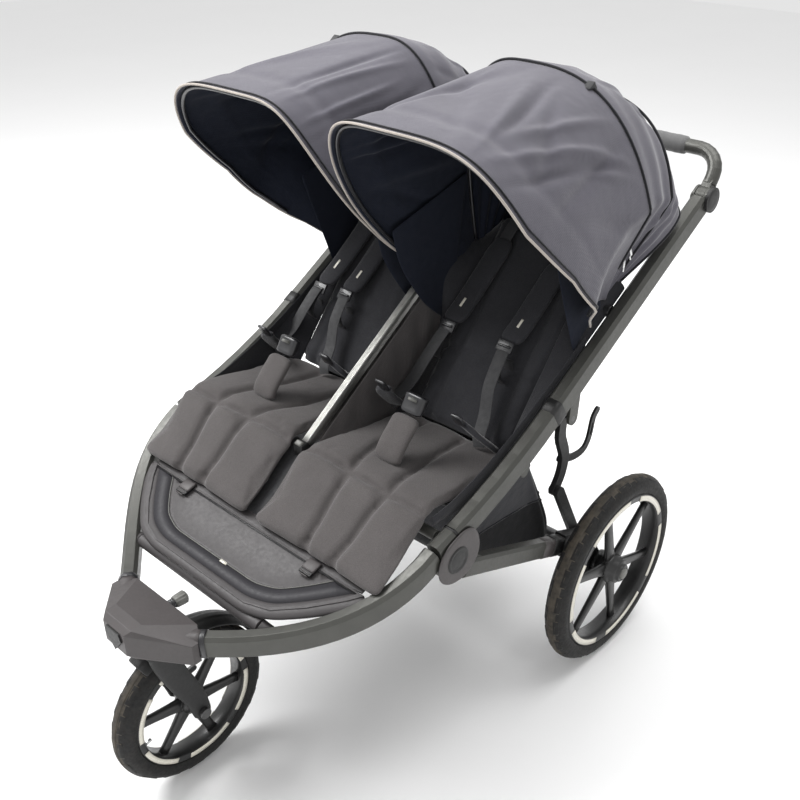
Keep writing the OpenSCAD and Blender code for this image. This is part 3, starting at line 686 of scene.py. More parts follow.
def build_flaps(name, side):
    """Side flaps that hang from the hood into the seat."""
    across = np.linspace(0, 1, 17)
    for where, x, *edges in FLAPS:
        first, last = (smooth_path([[0, *q] for q in line], 8) for line in edges)
        rows = []
        for k, (start, end) in enumerate(zip(first, last)):
            row = start + (end - start) * across[:, None]
            low = k / (len(first) - 1)
            row[:, 0] = x + 1.8 * np.sin(across * 7 + 2 * low) * low
            row[:, 2] -= 7 * np.sin(np.pi * across) * low**3
            rows.append(row)
        flap = cloth(f"hood_flap_{where}_{name}", grid(rows), f"hood_{name}", "lining", side, 1.6)


def build_drop(name, side):
    """Drop panel behind the seat, from the rear seam to the top of the backrest."""
    n = 61
    upper = rear_point(np.full(n, REAR_SEAM), np.linspace(8, 172, n), 17.0)
    lean = np.radians(52)
    along = np.array([np.cos(lean), np.sin(lean)])
    out = np.array([np.sin(lean), -np.cos(lean)])
    u = np.linspace(0, 1, n)
    height = 340 + 62 * np.sin(np.pi * u) ** 0.35
    lower_yz = SEAT_PIVOT + along * height[:, None] + out * 13
    lower = np.stack([40 + 232 * (0.5 - 0.5 * np.cos(np.pi * u)), lower_yz[:, 0], lower_yz[:, 1]], 1)
    rows = []
    for s in np.linspace(0, 1, 13):
        row = upper * (1 - s) + lower * s
        row[:, 1:] += out * (7 * np.sin(np.pi * s) * (1 + 0.4 * np.sin(u * 31)))[:, None]
        rows.append(row)
    drop = cloth(f"hood_drop_{name}", grid(rows), None, "hood_fabric", side, 1.6, inner="lining")
    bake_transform(drop)


# ---- Seats ----

CUSHION_TOP = [[-291, 463], [-250, 492], [-200, 538], [-172, 554], [-130, 552], [-60, 542], [44, 530]]
SEAM_A = [[136, -285], [130, -178], [98, -75], [92, 30]]
SEAM_B = [[202, -285], [219, -178], [190, -30], [184, 30]]
SEAT_PIVOT = np.array([62.0, 518.0])
BACK_ANGLE = 52.0
SEAT_SHEETS = (
    ("wall_inner", "seat_fabric", [[-140, 541], [0, 643], [150, 750], [178, 772]],
     [[-140, 526], [-20, 516], [60, 520], [120, 562], [172, 640]], 13.5, 5, 6,
     dict(flat=(0.42, 0.24), held="hung", area=0.045)),
    ("wall_outer", "side_fabric", [[-168, 540], [-100, 552], [0, 590], [110, 648], [225, 716]],
     [[-168, 524], [-110, 520], [44, 508], [120, 560], [222, 640]], 303.5, 3, 4,
     dict(flat=(0.45, 0.1), held="stretched", area=0.027)),
    ("sling", "side_fabric", [[128, 609], [180, 640], [244, 682], [310, 724], [382, 768]],
     [[128, 600], [150, 618], [240, 650], [329, 676], [378, 762]], 306, 4, 3,
     dict(flat=(0.31, 0.06), held="hung", area=0.0093)),
)


def seam_x(seam, y):
    return np.interp(y, [q[1] for q in seam], [q[0] for q in seam])


def cushion_height(y):
    p = smooth_path([[0, *q] for q in CUSHION_TOP], 6)[:, 1:]
    return np.interp(y, p[:, 0], p[:, 1])


def build_cushion():
    """Quilted seat cushion of the right seat: a crowned pad that rolls over the knee edge."""
    spine = smooth_path([[0, *q] for q in [[-290, 446], *CUSHION_TOP, [74, 527]]], 5)[:, 1:]
    tangent = unit(np.gradient(spine, axis=0))
    normal = np.stack([-tangent[:, 1], tangent[:, 0]], 1)
    u = np.linspace(-1, 1, 45)
    rows = []
    for i, (at, up) in enumerate(zip(spine, normal)):
        end = min(i, len(spine) - 1 - i) / 4
        full = math.sqrt(min(end, 1))
        outer = np.interp(at[0], [-200, -150], [308, 301]) - 9 * (1 - full)
        inner = np.interp(at[0], [-190, -160], [10, 21]) + 9 * (1 - full)
        x = inner + (outer - inner) * (u + 1) / 2
        crown = (1 - np.abs(u) ** 6) ** 0.5
        knee = math.exp(-(((at[0] + 178) / 12) ** 2))
        panel = np.ones_like(x)
        for seam in (SEAM_A, SEAM_B):
            panel = panel * (1 - np.exp(-(((x - seam_x(seam, at[0])) / 15) ** 2)))
        lift = (6 * panel * (1 - knee) * full - 4) * crown - 6 * (1 - crown)
        top = np.stack([x, at[0] + up[0] * lift, at[1] + up[1] * lift], 1)
        drop = -(6 + 13 * full) * (0.5 + 0.5 * crown)
        base = np.stack([x, at[0] + up[0] * drop, at[1] + up[1] * drop], 1)
        rows.append(np.concatenate([top, base[::-1]]))
    pad = mesh_piece("cushion_right", grid(rows, wrap=True, caps=True), None, "seat_fabric")
    inflate(pad, 4.5, 3.0, 5.0)

    def on_top(x, y):
        return [x, y, cushion_height(y) - 0.5]

    knee_line = [on_top(x, -178 + 3 * math.sin(x / 60)) for x in range(2, 312, 12)]
    long_lines = [
        [on_top(seam_x(seam, y), y) for y in np.linspace(-292, 40, 40)] for seam in (SEAM_A, SEAM_B)
    ]
    sew(pad, [knee_line, *long_lines], 6.0, 5.0, 1.2)
    return pad


def along_back(d, lift, x=0.0):
    a = math.radians(BACK_ANGLE)
    y = SEAT_PIVOT[0] + d * math.cos(a) - lift * math.sin(a)
    z = SEAT_PIVOT[1] + d * math.sin(a) + lift * math.cos(a)
    return np.array([x, y, z])


def build_backrest():
    """Padded backrest of the right seat, with a hollow middle and two side bolsters."""
    u = np.linspace(-1, 1, 37)
    rows = []
    for d in np.linspace(8, 420, 42):
        end = min(d - 4, 424 - d) / 26
        crown = (1 - np.abs(u) ** 5) ** 0.5
        half = 119 - 16 * max(0, 1 - end) ** 2
        x = 156 + half * u
        bolster = 3 * np.exp(-(((np.abs(u) - 0.78) / 0.16) ** 2))
        front = (5 + bolster) * crown * min(1, 0.4 + 0.6 * end)
        rear = -8 * crown * min(1, 0.4 + 0.6 * end)
        top = np.array([along_back(d, h, px) for px, h in zip(x, front)])
        base = np.array([along_back(d, h, px) for px, h in zip(x, rear)])
        rows.append(np.concatenate([top, base[::-1]]))
    # The darker side cloth on this pad is painted shade of the hood over the backrest
    pad = mesh_piece("back_pad_right", grid(rows, wrap=True, caps=True), None, "side_fabric")
    inflate(pad, 5.0, 3.0, 5.0)
    lines = [[along_back(d, 8, x) for d in range(20, 420, 20)] for x in (86, 226)]
    lines.append([along_back(150, 7, x) for x in range(40, 275, 15)])
    sew(pad, lines, 4.0, 6.0, 0.8)
    return pad


def side_sheet(top, low, x, bulge, rows=15, columns=49, waves=5):
    """Hanging side cloth between two lines of [Y, Z] points, with soft waves across it."""
    s = np.linspace(0, 1, columns)

    def spaced(edge):
        line = smooth_path([[0, *p] for p in edge], 12)[:, 1:]
        length = np.concatenate([[0], np.cumsum(np.linalg.norm(np.diff(line, axis=0), axis=1))])
        return np.stack([np.interp(s * length[-1], length, line[:, k]) for k in (0, 1)], 1)

    top, low = spaced(top), spaced(low)
    out = []
    for f in np.linspace(0, 1, rows):
        yz = top * (1 - f) + low * f
        push = bulge * np.sin(np.pi * f) * (0.6 + 0.4 * np.sin(2 * np.pi * waves * s + 2 * f))
        out.append(np.stack([x + push, yz[:, 0], yz[:, 1]], 1))
    return grid(out)


def tube_height(y):
    line = upper_line()
    return np.interp(y, line[:, 0], line[:, 1])


def build_wings(name, side):
    """Side cloths that close the seat between the backrest and the frame on both sides."""
    n = 45
    s = np.linspace(0, 1, n)
    y = 10 + 320 * s
    outer_edge = np.stack([np.full(n, 309.0), y, tube_height(y) + 14], 1)
    corners = [[50, 522], [120, 572], [172, 652], [180, 768], [250, 796], [326, 810]]
    rail_side = smooth_path([[14, *p] for p in corners], 12)
    inner_edge = rail_side[np.linspace(0, len(rail_side) - 1, n).astype(int)]
    for where, edge, x, near, far in (
        ("outer", outer_edge, 262, 306, 268), ("inner", inner_edge, 50, 17, 44),
    ):
        pad_edge = np.array([along_back(d, 5, x) for d in 5 + 405 * s])
        rows = []
        for f in np.linspace(0, 1, 11):
            row = edge * (1 - f) + pad_edge * f
            sag = 6 * np.sin(np.pi * f) * (1 + 0.5 * np.sin(s * 23 + 4 * f))
            row[:, 1] -= sag * 0.6
            row[:, 2] -= sag * 0.6
            rows.append(row)
        wing = cloth(f"seat_wing_{where}_{name}", grid(rows), None, "side_fabric", side)
        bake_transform(wing)


def build_seats():
    path = smooth_path([[0, -140, 528], [0, -180, 518], [0, -230, 478], [0, -284, 440]], 8)
    mesh_piece("seat_bridge", strap(path, 90, 3), "upper_frame", "dark_webbing")
    cushion, back = build_cushion(), build_backrest()
    for piece in (cushion, back):
        subdivide(piece)
    for name, side in SIDES:
        pad = cushion if side > 0 else mirrored_copy(cushion, "cushion_left")
        rest = back if side > 0 else mirrored_copy(back, "back_pad_left")
        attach(pad, "upper_frame")
        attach(rest, f"backrest_{name}")
        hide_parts(f"seat_cushion_{name}")
        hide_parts(f"backrest_{name}")
        points = [[x, y, cushion_height(y) + 4.5] for x, y in ((172, -212), (190, -204))]
        mark = strap(points, 11, 0.8, (0.3, -1, -0.6))
        mesh_piece(f"cushion_mark_{name}", mark, "upper_frame", "reflector", side)
        for where, finish, top, low, x, bulge, waves, says in SEAT_SHEETS:
            drape = side_sheet(top, low, x, bulge, waves=waves)
            wall = cloth(f"seat_{where}_{name}", drape, "upper_frame", finish, side)
            if side > 0 and where == "wall_outer":
                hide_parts("seat_sides")
        build_wings(name, side)


# ---- Harness ----


def soft_bar(path, width, thick, across=(1, 0, 0), ends=0.55):
    """Long padded bar with round ends, lofted along a path."""
    path = smooth_path(path, 6)
    n = len(path)
    tangent = unit(np.gradient(path, axis=0))
    side = np.broadcast_to(np.array(across, float), tangent.shape)
    normal = unit(np.cross(tangent, side))
    rows = []
    for i in range(n):
        end = min(i, n - 1 - i) / (n - 1) * 9
        grow = ends + (1 - ends) * math.sqrt(min(1, end))
        a = np.linspace(0, 2 * np.pi, 28, endpoint=False)
        x, y = power(np.cos(a), 0.55) * width / 2 * grow, power(np.sin(a), 0.8) * thick / 2 * grow
        rows.append(path[i] + side[i] * x[:, None] + normal[i] * y[:, None])
    return grid(rows, wrap=True, caps=True)


def build_harness(name, side):
    back, fixed = f"backrest_{name}", "upper_frame"
    tops, ends = (((84, 370), (214, 360)), ((60, 190), (192, 192)))
    if side < 0:
        tops, ends = (((170, 345), (226, 375)), ((199, 172), (268, 168)))
    for k, (top, end) in enumerate(zip(tops, ends)):
        x = end[0]

        def at_pad(share, lift):
            return along_back(top[1] + (end[1] - top[1]) * share, lift, top[0] + (end[0] - top[0]) * share)

        line = [at_pad(f, lift) for f, lift in ((0, 19), (0.3, 21), (0.6, 23), (0.82, 26), (1, 32))]
        pad = mesh_piece(f"shoulder_pad_{k + 1}_{name}", soft_bar(line, 46, 13), back, "side_fabric", side)
        subdivide(pad)
        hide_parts(f"shoulder_pads_{name}")
        bar = [at_pad(0.72, 31.5), at_pad(0.77, 32.5), at_pad(0.82, 33.5)]
        mesh_piece(f"shoulder_tab_{k + 1}_{name}", strap(smooth_path(bar, 4), 5, 1), back, "reflector", side)
        over = [at_pad(f, lift) for f, lift in ((-0.3, 10), (-0.25, 17), (-0.12, 21), (0.04, 21))]
        band = strap(smooth_path(over, 6), 25, 1.6)
        mesh_piece(f"shoulder_strap_top_{k + 1}_{name}", band, back, "webbing", side)
        lock = at_pad(1.05, 36)
        buckle = joined([
            box(lock, (34, 5, 22), 1.6, BACK_ANGLE - 90),
            box(lock + [0, -3, 2], (26, 5, 4), 1.2, BACK_ANGLE - 90),
            box(lock + [0, -4, -7], (30, 6, 4), 1.2, BACK_ANGLE - 90),
        ])
        mesh_piece(f"ladder_lock_{k + 1}_{name}", buckle, back, "buckle", side)
        down = 1 if k else -1
        run = [
            lock, along_back(150, 42, x + 4 * down), along_back(105, 44, x + 10 * down),
            along_back(60, 38, x + 22 * down), [x + 34 * down, 40, 562], [x + 40 * down, 34, 546],
        ]
        band = strap(smooth_path(run, 10), 25, 1.6)
        belt = mesh_piece(f"harness_belt_{k + 1}_{name}", band, None, "webbing", side)
        start, end = np.array([x * side, 34, 546]) / 1000, along_back(150, 42, x * side) / 1000
        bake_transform(belt)
        loop = [
            lock + [0, -5, -4], lock + [2 * down, -22, -26], lock + [5 * down, -24, -52],
            lock + [8 * down, -8, -66], lock + [9 * down, 2, -48], lock + [7 * down, 2, -24],
        ]
        band = strap(smooth_path(loop, 8), 20, 1.4)
        mesh_piece(f"strap_loop_{k + 1}_{name}", band, back, "dark_webbing", side)

    # Waist pads beside the hips, and the crotch strap with its pad and buckle
    for k, (x, lean) in enumerate(((44, 1), (270, -1))):
        line = [[x, 30, 560], [x + 4 * lean, 4, 586], [x + 12 * lean, -18, 610], [x + 22 * lean, -30, 628]]
        bar = soft_bar(line, 40, 11, (0.96, 0, 0.28 * lean))
        pad = mesh_piece(f"waist_pad_{k + 1}_{name}", bar, fixed, "side_fabric", side)
        subdivide(pad)
        tongue = box([x + 27 * lean, -38, 636], (22, 6, 26), 2.4, 32)
        mesh_piece(f"waist_tongue_{k + 1}_{name}", tongue, fixed, "buckle", side)
    x = 159
    line = [[x, -118, 556], [x, -112, 572], [x, -98, 590], [x, -80, 608], [x, -66, 622]]
    pad = mesh_piece(f"crotch_pad_{name}", soft_bar(line, 56, 17), fixed, "seat_fabric", side)
    subdivide(pad)
    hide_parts(f"crotch_buckle_{name}")
    body = joined([
        soft_bar([[x, -62, 624], [x, -55, 634], [x, -49, 644], [x, -44, 653]], 44, 15, ends=0.75),
        box([x - 17, -48, 640], (9, 12, 24), 3, -35), box([x + 17, -48, 640], (9, 12, 24), 3, -35),
    ])
    mesh_piece(f"buckle_shell_{name}", body, fixed, "buckle", side)
    origin = np.zeros(3)
    face = lathe([[0.01, 0], [8, 0], [9, 1.5], [9, 4], [7.5, 5.5], [0.01, 6]], origin, 28)
    face = turned(turned(face, 90, origin, "Z"), 55, origin, "X")
    mesh_piece(f"buckle_button_{name}", (face[0] + [x, -57, 646], face[1]), fixed, "grey_plastic", side)
    under = [[x, -120, 553], [x, -108, 566], [x, -92, 586]]
    mesh_piece(f"crotch_strap_{name}", strap(smooth_path(under, 8), 38, 2), fixed, "dark_webbing", side)


# ---- Frame details ----

TUBE_X = 326.0  # the middle of each side tube


def upper_line():
    """Centre line of an upper tube: a long arc from the hub, then a straight run."""
    a = np.radians(np.linspace(16, 32.1, 24))
    start = np.radians(16)
    y = -184 + 1156 * (np.sin(a) - np.sin(start))
    z = 489 + 1156 * (np.cos(start) - np.cos(a))
    return np.append(np.stack([y, z], 1), [[538, 890]], 0)


def sleeve(centre, heading, length, w, h, corner=8):
    """Collar round a side tube: centre and heading in Y and Z."""
    d = np.array([0, math.cos(math.radians(heading)), math.sin(math.radians(heading))])
    c = np.array([TUBE_X, *centre])
    steps = [(-0.5, 0.94), (-0.47, 1), (0.47, 1), (0.5, 0.94)]
    path = [c + d * length * s for s, _ in steps]
    return sweep(path, rounded_section(w, h, corner), scale=[k for _, k in steps])


def build_frame(name, side):
    line = upper_line()
    for k, (at, length) in enumerate(((3, 5), (23, 26))):
        heading = math.degrees(math.atan2(*(line[at + 1] - line[at])[::-1]))
        ring = sleeve(line[at], heading, length, 29.5, 43.5)
        mesh_piece(f"tube_band_{k + 1}_{name}", ring, "upper_frame", "black_casting", side)
    collar = sleeve([150, 317], -22, 30, 28.5, 37)
    mesh_piece(f"chassis_collar_{name}", collar, "rear_frame", "black_casting", side)
    sleeve_piece = sleeve([120, 329], -22, 34, 27.5, 35.5)
    mesh_piece(f"chassis_sleeve_{name}", sleeve_piece, "rear_frame", "nose_plastic", side)

    # Hub cover: a domed shield with a plain oval badge in a ring
    hub = np.array([-145.0, 462.0])
    outline = []
    for a in np.linspace(0, 2 * np.pi, 64, endpoint=False):
        r = 47 + 9 * math.exp(-(((math.degrees(a) - 62) / 34) ** 2)) + 3 * math.cos(2 * a)
        outline.append([hub[0] + r * math.cos(a), hub[1] + 6 + r * math.sin(a)])
    outline = np.array(outline)
    centre = outline.mean(0)
    rows = []
    dome = (
        (340.5, 1), (343.5, 1), (345, 0.97), (346, 0.88), (346.4, 0.7), (346.2, 0.6), (346.4, 0.3),
        (346.4, 0.02),
    )
    for x, share in dome:
        yz = centre + (outline - centre) * share
        rows.append(np.stack([np.full(64, x), yz[:, 0], yz[:, 1]], 1))
    shape = grid(rows, wrap=True, caps=True)
    cover = mesh_piece(f"hub_cover_{name}", shape, "upper_frame", "nose_plastic", side)
    subdivide(cover)
    if side > 0:
        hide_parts("hub_covers")
    profile = [[0.01, 0.8], [15, 0.8], [17, 0.2], [18.5, 0.8], [21, 1.6], [23, 1.2], [24, 0]]
    badge = lathe(profile, [346.6, *(hub + [-6, 8])], 48)
    mesh_piece(f"hub_badge_{name}", badge, "upper_frame", "black_casting", side)

    # Plastic end cap over the handlebar hinge
    cap = lathe([[0.01, 7], [14, 7], [20, 6], [22.8, 3], [23, 0]], [340, 538, 890], 48)
    mesh_piece(f"handle_cap_{name}", cap, "upper_frame", "black_casting", side, flat_above=40)


def build_middle():
    """Grooved rail between the seats, its end cap, and the padded grip of the handlebar."""
    low, mid, top = np.array([-165, 540]), np.array([190, 794]), np.array([480, 842])
    points = [low + [4, -4], [0, 653], [130, 747], mid + [0, -2], [330, 817], top]
    path = smooth_path([[0, *p] for p in points], 10)
    half, deep = 6.6, 9
    section = []
    for x in np.linspace(half, -half, 45):
        groove = sum(math.exp(-(((x - g) / 0.7) ** 4)) for g in (-3.2, 0, 3.2))
        crown = -1.6 * max(0, (abs(x) - half + 1.6) / 1.6) ** 2
        section.append([x, deep - 2.0 * groove + crown])
    section += [[-half, -9], [half, -9]]
    rail = mesh_piece("rail_cover", sweep(path, section), "upper_frame", "silver_rail", flat_above=50)
    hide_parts("center_rail")
    foot = joined([
        plate([(-174, 506), (-156, 506), (-150, 532), (-160, 548), (-176, 548)], -11, 11, 2),
        plate([(268, 745), (292, 745), (300, 812), (276, 808)], -4, 4, 1),
    ])
    mesh_piece("rail_foot", foot, "upper_frame", "black_casting")
    cap = box([0, -168, 543], (15, 10, 19), 2.5, 36)
    mesh_piece("rail_end_cap", cap, "upper_frame", "grey_plastic")
    x = np.linspace(-255, 255, 120)
    radius = 16.6 + 0.25 * np.sin(x / 6) + 0.15 * np.sin(x / 2.3)
    radius = radius - 3.2 * np.clip((np.abs(x) - 249) / 6, 0, 1) ** 2
    foam = lathe(np.stack([radius, x], 1), [0, 588, 962], 40)
    grip = mesh_piece("grip_cover", foam, "handle", "grip_foam")
    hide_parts("handle_grip")


# ---- Footrest and nose ----

TRAY_BACK, TRAY_TILT = np.array([-289.0, 436.0]), 17.0


def on_tray(x, back, lift):
    """Point of the tray: back is the distance from its rear edge, negative towards the front."""
    a = math.radians(TRAY_TILT)
    y = TRAY_BACK[0] + back * math.cos(a) - lift * math.sin(a)
    z = TRAY_BACK[1] + back * math.sin(a) + lift * math.cos(a)
    return [x, y, z]


def tray_front(x, inset=0.0):
    """Front edge of the tray at x, as a distance from its rear edge."""
    edge = [[0, -118], [120, -118], [168, -104], [214, -68], [262, -22], [283, 0]]
    scale = 1 + inset / 283
    return np.interp(abs(x) * scale, [p[0] for p in edge], [p[1] for p in edge]) + inset


def tray_row(inset, count=97):
    """Rounded front edge of the tray from its left corner to its right one."""
    half = 281 - inset
    x = half * np.sin(np.linspace(-1, 1, count) * np.pi / 2)
    y = np.array([tray_front(v, inset) for v in x])
    kernel = np.hanning(9) / np.hanning(9).sum()
    smooth = np.convolve(np.pad(y, 4, mode="edge"), kernel, "valid")
    smooth[0] = smooth[-1] = min(0, -2)
    return x, smooth


def build_tray():
    def strip(levels):
        return [
            [on_tray(x, min(y, -2) + push, lift) for x, y in zip(*tray_row(inset))]
            for inset, lift, push in levels
        ]

    panel_rows = strip([(38, 6.2, 0), (42, 5.4, 0), (60, 5.2, 0)])
    for back, lift in ((-6, 5.2), (-3, 7.5), (2, 8.8), (8, 8.8), (30, 7.0)):
        x = tray_row(60)[0] * (1 if back < 0 else 1.22)
        panel_rows.append([on_tray(v, back, lift) for v in x])
    panel = mesh_piece("tray_panel", grid(panel_rows), "front_frame", "tray")
    thicken(panel, 3.0)
    rolled = [(-6, -5, -3), (-8, 0, -4), (-6, 5, -3), (-1, 7.5, -1), (4, 7.5, 0), (8, 6, 0), (14, 5.8, 0)]
    rim = strip(rolled)
    lip = mesh_piece("tray_lip", grid(rim), "front_frame", "tray")
    thicken(lip, 2.5)
    # Flat dark band: painted shade of the tray's front wall, which is not modelled as a wall
    band = mesh_piece("tray_band", grid(strip([(12, 6.2, 0), (36, 6.2, 0)])), "front_frame", "tray_band")
    thicken(band, 1.5)
    fine = [on_tray(x, min(y, -4), 6.8) for x, y in zip(*tray_row(37))]
    mesh_piece("tray_inner_line", tube(fine, 0.9, 8), "front_frame", "grey_plastic")
    groove = [on_tray(x, -5, 8.2) for x in (-262, 0, 262)]
    mesh_piece("tray_groove", tube(groove, 1.0, 8), "front_frame", "buckle")
    mark = [on_tray(18, -82, 6.8), on_tray(26, -82, 6.8), on_tray(34, -82, 6.8)]
    mesh_piece("tray_reflector", strap(mark, 5, 1.5, (0, 1, 0.3)), "front_frame", "reflector")
    for x, name in ((-165, "left"), (165, "right")):
        ribs = [
            box(on_tray(x, -16 - 5 * k, 14 - 1.5 * k), (24 - 3 * k, 2.2, 3), 0.9, TRAY_TILT)
            for k in range(3)
        ]
        clip = joined([box(on_tray(x, -6, 12.5), (27, 22, 5), 2.2, TRAY_TILT), *ribs])
        mesh_piece(f"tray_clip_{name}", clip, "front_frame", "nose_plastic")


def front_path(t):
    """Centre line of the right front tube."""
    p = np.array([[62, -506, 360], [190, -402, 352], [330, -322, 418], [326, -187, 487]], float)
    t = np.asarray(t, float)[:, None]
    return (1 - t) ** 3 * p[0] + 3 * t * (1 - t) ** 2 * p[1] + 3 * t**2 * (1 - t) * p[2] + t**3 * p[3]


def chamfered(w, h, c):
    w, h = w / 2, h / 2
    return [
        (w, h - c), (w - c, h), (c - w, h), (-w, h - c), (-w, c - h), (c - w, -h), (w - c, -h), (w, c - h),
    ]


def build_nose():
    """Knob with finger ribs, and the sleeves and collars where the front tubes enter the nose."""
    a = np.linspace(0, 2 * np.pi, 72, endpoint=False)
    rows = []
    turns = (
        (-456, 8, 0), (-455, 9.5, 0), (-450, 10.6, 0.5), (-436, 11, 0.8), (-434, 10.6, 0.5), (-432, 8, 0),
    )
    for y, r, rib in turns:
        ring = r + rib * np.cos(a * 12)
        rows.append(np.stack([ring * np.cos(a), np.full(72, y), 371 + ring * np.sin(a)], 1))
    shape = grid(rows, wrap=True, caps=True)
    knob = mesh_piece("knob_cover", shape, "swivel_knob", "grey_plastic", flat_above=40)
    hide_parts("swivel_knob")
    neck = []
    for k, y in enumerate(np.arange(-484, -455.5, 0.75)):
        r = 7.6 + 0.7 * (k % 4 in (1, 2))
        neck.append(np.stack([r * np.cos(a), np.full(72, y), 371 + r * np.sin(a)], 1))
    mesh_piece("knob_collar", grid(neck, wrap=True, caps=True), "swivel_knob", "buckle", flat_above=40)
    for name, side in SIDES:
        sleeve_path = front_path(np.linspace(-0.03, 0.105, 8))
        arm = sweep(sleeve_path, chamfered(31, 45, 8))
        mesh_piece(f"nose_arm_{name}", arm, "front_frame", "nose_plastic", side, flat_above=25)
        ring = sweep(front_path(np.linspace(0.1, 0.118, 4)), chamfered(33, 47, 9))
        mesh_piece(f"nose_collar_{name}", ring, "front_frame", "buckle", side, flat_above=25)


# ---- Wheels ----

TYRE = 23  # half the width of every tyre
REAR_WHEEL, FRONT_WHEEL = (366, 300, 200), (0, -455, 150)  # centres; the rear one is the right one


def tyre_shape(centre, radius, bead, blocks):
    """Tyre carcass with a raised centre band and low shoulder blocks."""
    r = TYRE - 1.4
    mid = radius - TYRE
    start = math.degrees(math.acos(max(-1, (bead - mid) / TYRE)))
    half = [[11, 12], np.linspace(13, start, 16)]
    turns = [np.linspace(-start, -13, 16), [-12, -11], np.linspace(-10, 10, 7), *half]
    lean = np.radians(np.concatenate(turns))
    lift = np.where(np.abs(np.degrees(lean)) < 11.5, 1.3, 0.3)
    profile = np.stack([mid + (r + lift) * np.cos(lean), (r + lift) * np.sin(lean)], 1)
    shapes = [lathe(profile, centre, 144, wrap=True)]
    for k in range(2 * blocks):
        side = 1 if k % 2 else -1
        middle, spin = math.radians(31 * side), math.pi / blocks * k
        rows = []
        for height, grow in ((-0.5, 1.0), (0.9, 1.0), (1.3, 0.9)):
            ring = []
            for u, v in ((-1, -1), (-1, 1), (0.7, 1), (1, 0.8), (1, -0.8), (0.7, -1)):
                tilt = middle + side * u * grow * math.radians(15)
                turn = spin + v * grow * 0.34 * 2 * math.pi / blocks
                rr = mid + (r + height) * math.cos(tilt)
                ring.append([
                    centre[0] + (r + height) * math.sin(tilt),
                    centre[1] + rr * math.cos(turn), centre[2] + rr * math.sin(turn),
                ])
            rows.append(ring)
        shapes.append(grid(rows, wrap=True, caps=True))
    return joined(shapes)


def spoke(centre, hub_r, rim_r, turn, root, tip, deep, x):
    """Tapered spoke with a rounded section, from the hub to the rim."""
    rows = []
    a = np.linspace(0, 2 * np.pi, 20, endpoint=False)
    for s in np.linspace(0, 1, 7):
        r = hub_r + (rim_r - hub_r) * s
        flare = 1 + 0.35 * (2 * abs(s - 0.5)) ** 4
        w = (root + (tip - root) * s) * flare / 2
        d = deep / 2 * (1 - 0.25 * s)
        wide, thick = power(np.sin(a), 0.7) * w, power(np.cos(a), 0.7) * d
        rows.append(np.stack([x + thick, wide, np.full(20, r)], 1))
    shape = grid(rows, wrap=True, caps=True)
    points = turned(shape, turn, np.zeros(3))[0] + centre
    return points, shape[1]


def arc_band(centre, r0, r1, x, start, sweep_angle, steps=14):
    a = np.radians(np.linspace(start, start + sweep_angle, steps))
    rows = [
        np.stack([np.full(steps, x), r * np.cos(a), r * np.sin(a)], 1) + centre
        for r in (r0, r1)
    ]
    return grid(rows)


def build_wheel(tag, centre, radius, bead, body, nodes, hub, face, side=1, turn=12):
    """Tyre, spoked rim, reflective arcs and valve of one wheel."""
    tyre_node, rim_node = nodes
    centre = np.array(centre, float)
    w, band, hub_r, blocks = (20, 15, 16, 22) if radius > 170 else (19, 13, 12, 17)
    shape = tyre_shape(centre, radius, bead, blocks)
    tyre = mesh_piece(f"tyre_tread_{tag}", shape, body, "tyre", side, flat_above=35)
    tyre.data.materials.append(FINISH["tread"])
    crown = radius - TYRE + 21 * math.cos(math.radians(24))
    for polygon in tyre.data.polygons:
        across = np.array(polygon.center) * 1000 - centre * [side, 1, 1]
        polygon.material_index = int(math.hypot(across[1], across[2]) > crown)
    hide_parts(tyre_node)
    inner = bead - band
    ring = [
        [bead - 0.3, -w], [bead - 0.3, w], [bead - 2, w + 0.1], [inner + 3, w], [inner + 0.6, w - 2.4],
        [inner, 0], [inner + 0.6, -w + 2.4], [inner + 3, -w], [bead - 2, -w - 0.1],
    ]
    parts = [lathe(ring, centre, 120, wrap=True), lathe(hub, centre, 64)]
    for k in range(6):
        parts.append(spoke(centre, hub_r, inner + 2, turn + 60 * k, 25, 15, 15, 1))
    rim = mesh_piece(f"rim_cover_{tag}", joined(parts), body, "rim", side, flat_above=38)
    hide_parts(rim_node)
    arcs = []
    for f in face:
        for k in range(6):
            start = 90 - turn + 60 * k + 7
            arcs.append(arc_band(centre, bead - band + 2, bead - 2, f * (w + 0.5), start, 46))
    strips = mesh_piece(f"rim_reflectors_{tag}", joined(arcs), body, "reflector", side)
    thicken(strips, 0.8, 0.0)
    a = math.radians(200)
    out = np.array([0, math.cos(a), math.sin(a)])
    valve = tube([centre + out * (inner + reach) for reach in (-14, -6, 2)], 3, 12)
    mesh_piece(f"valve_{tag}", valve, body, "chrome", side)


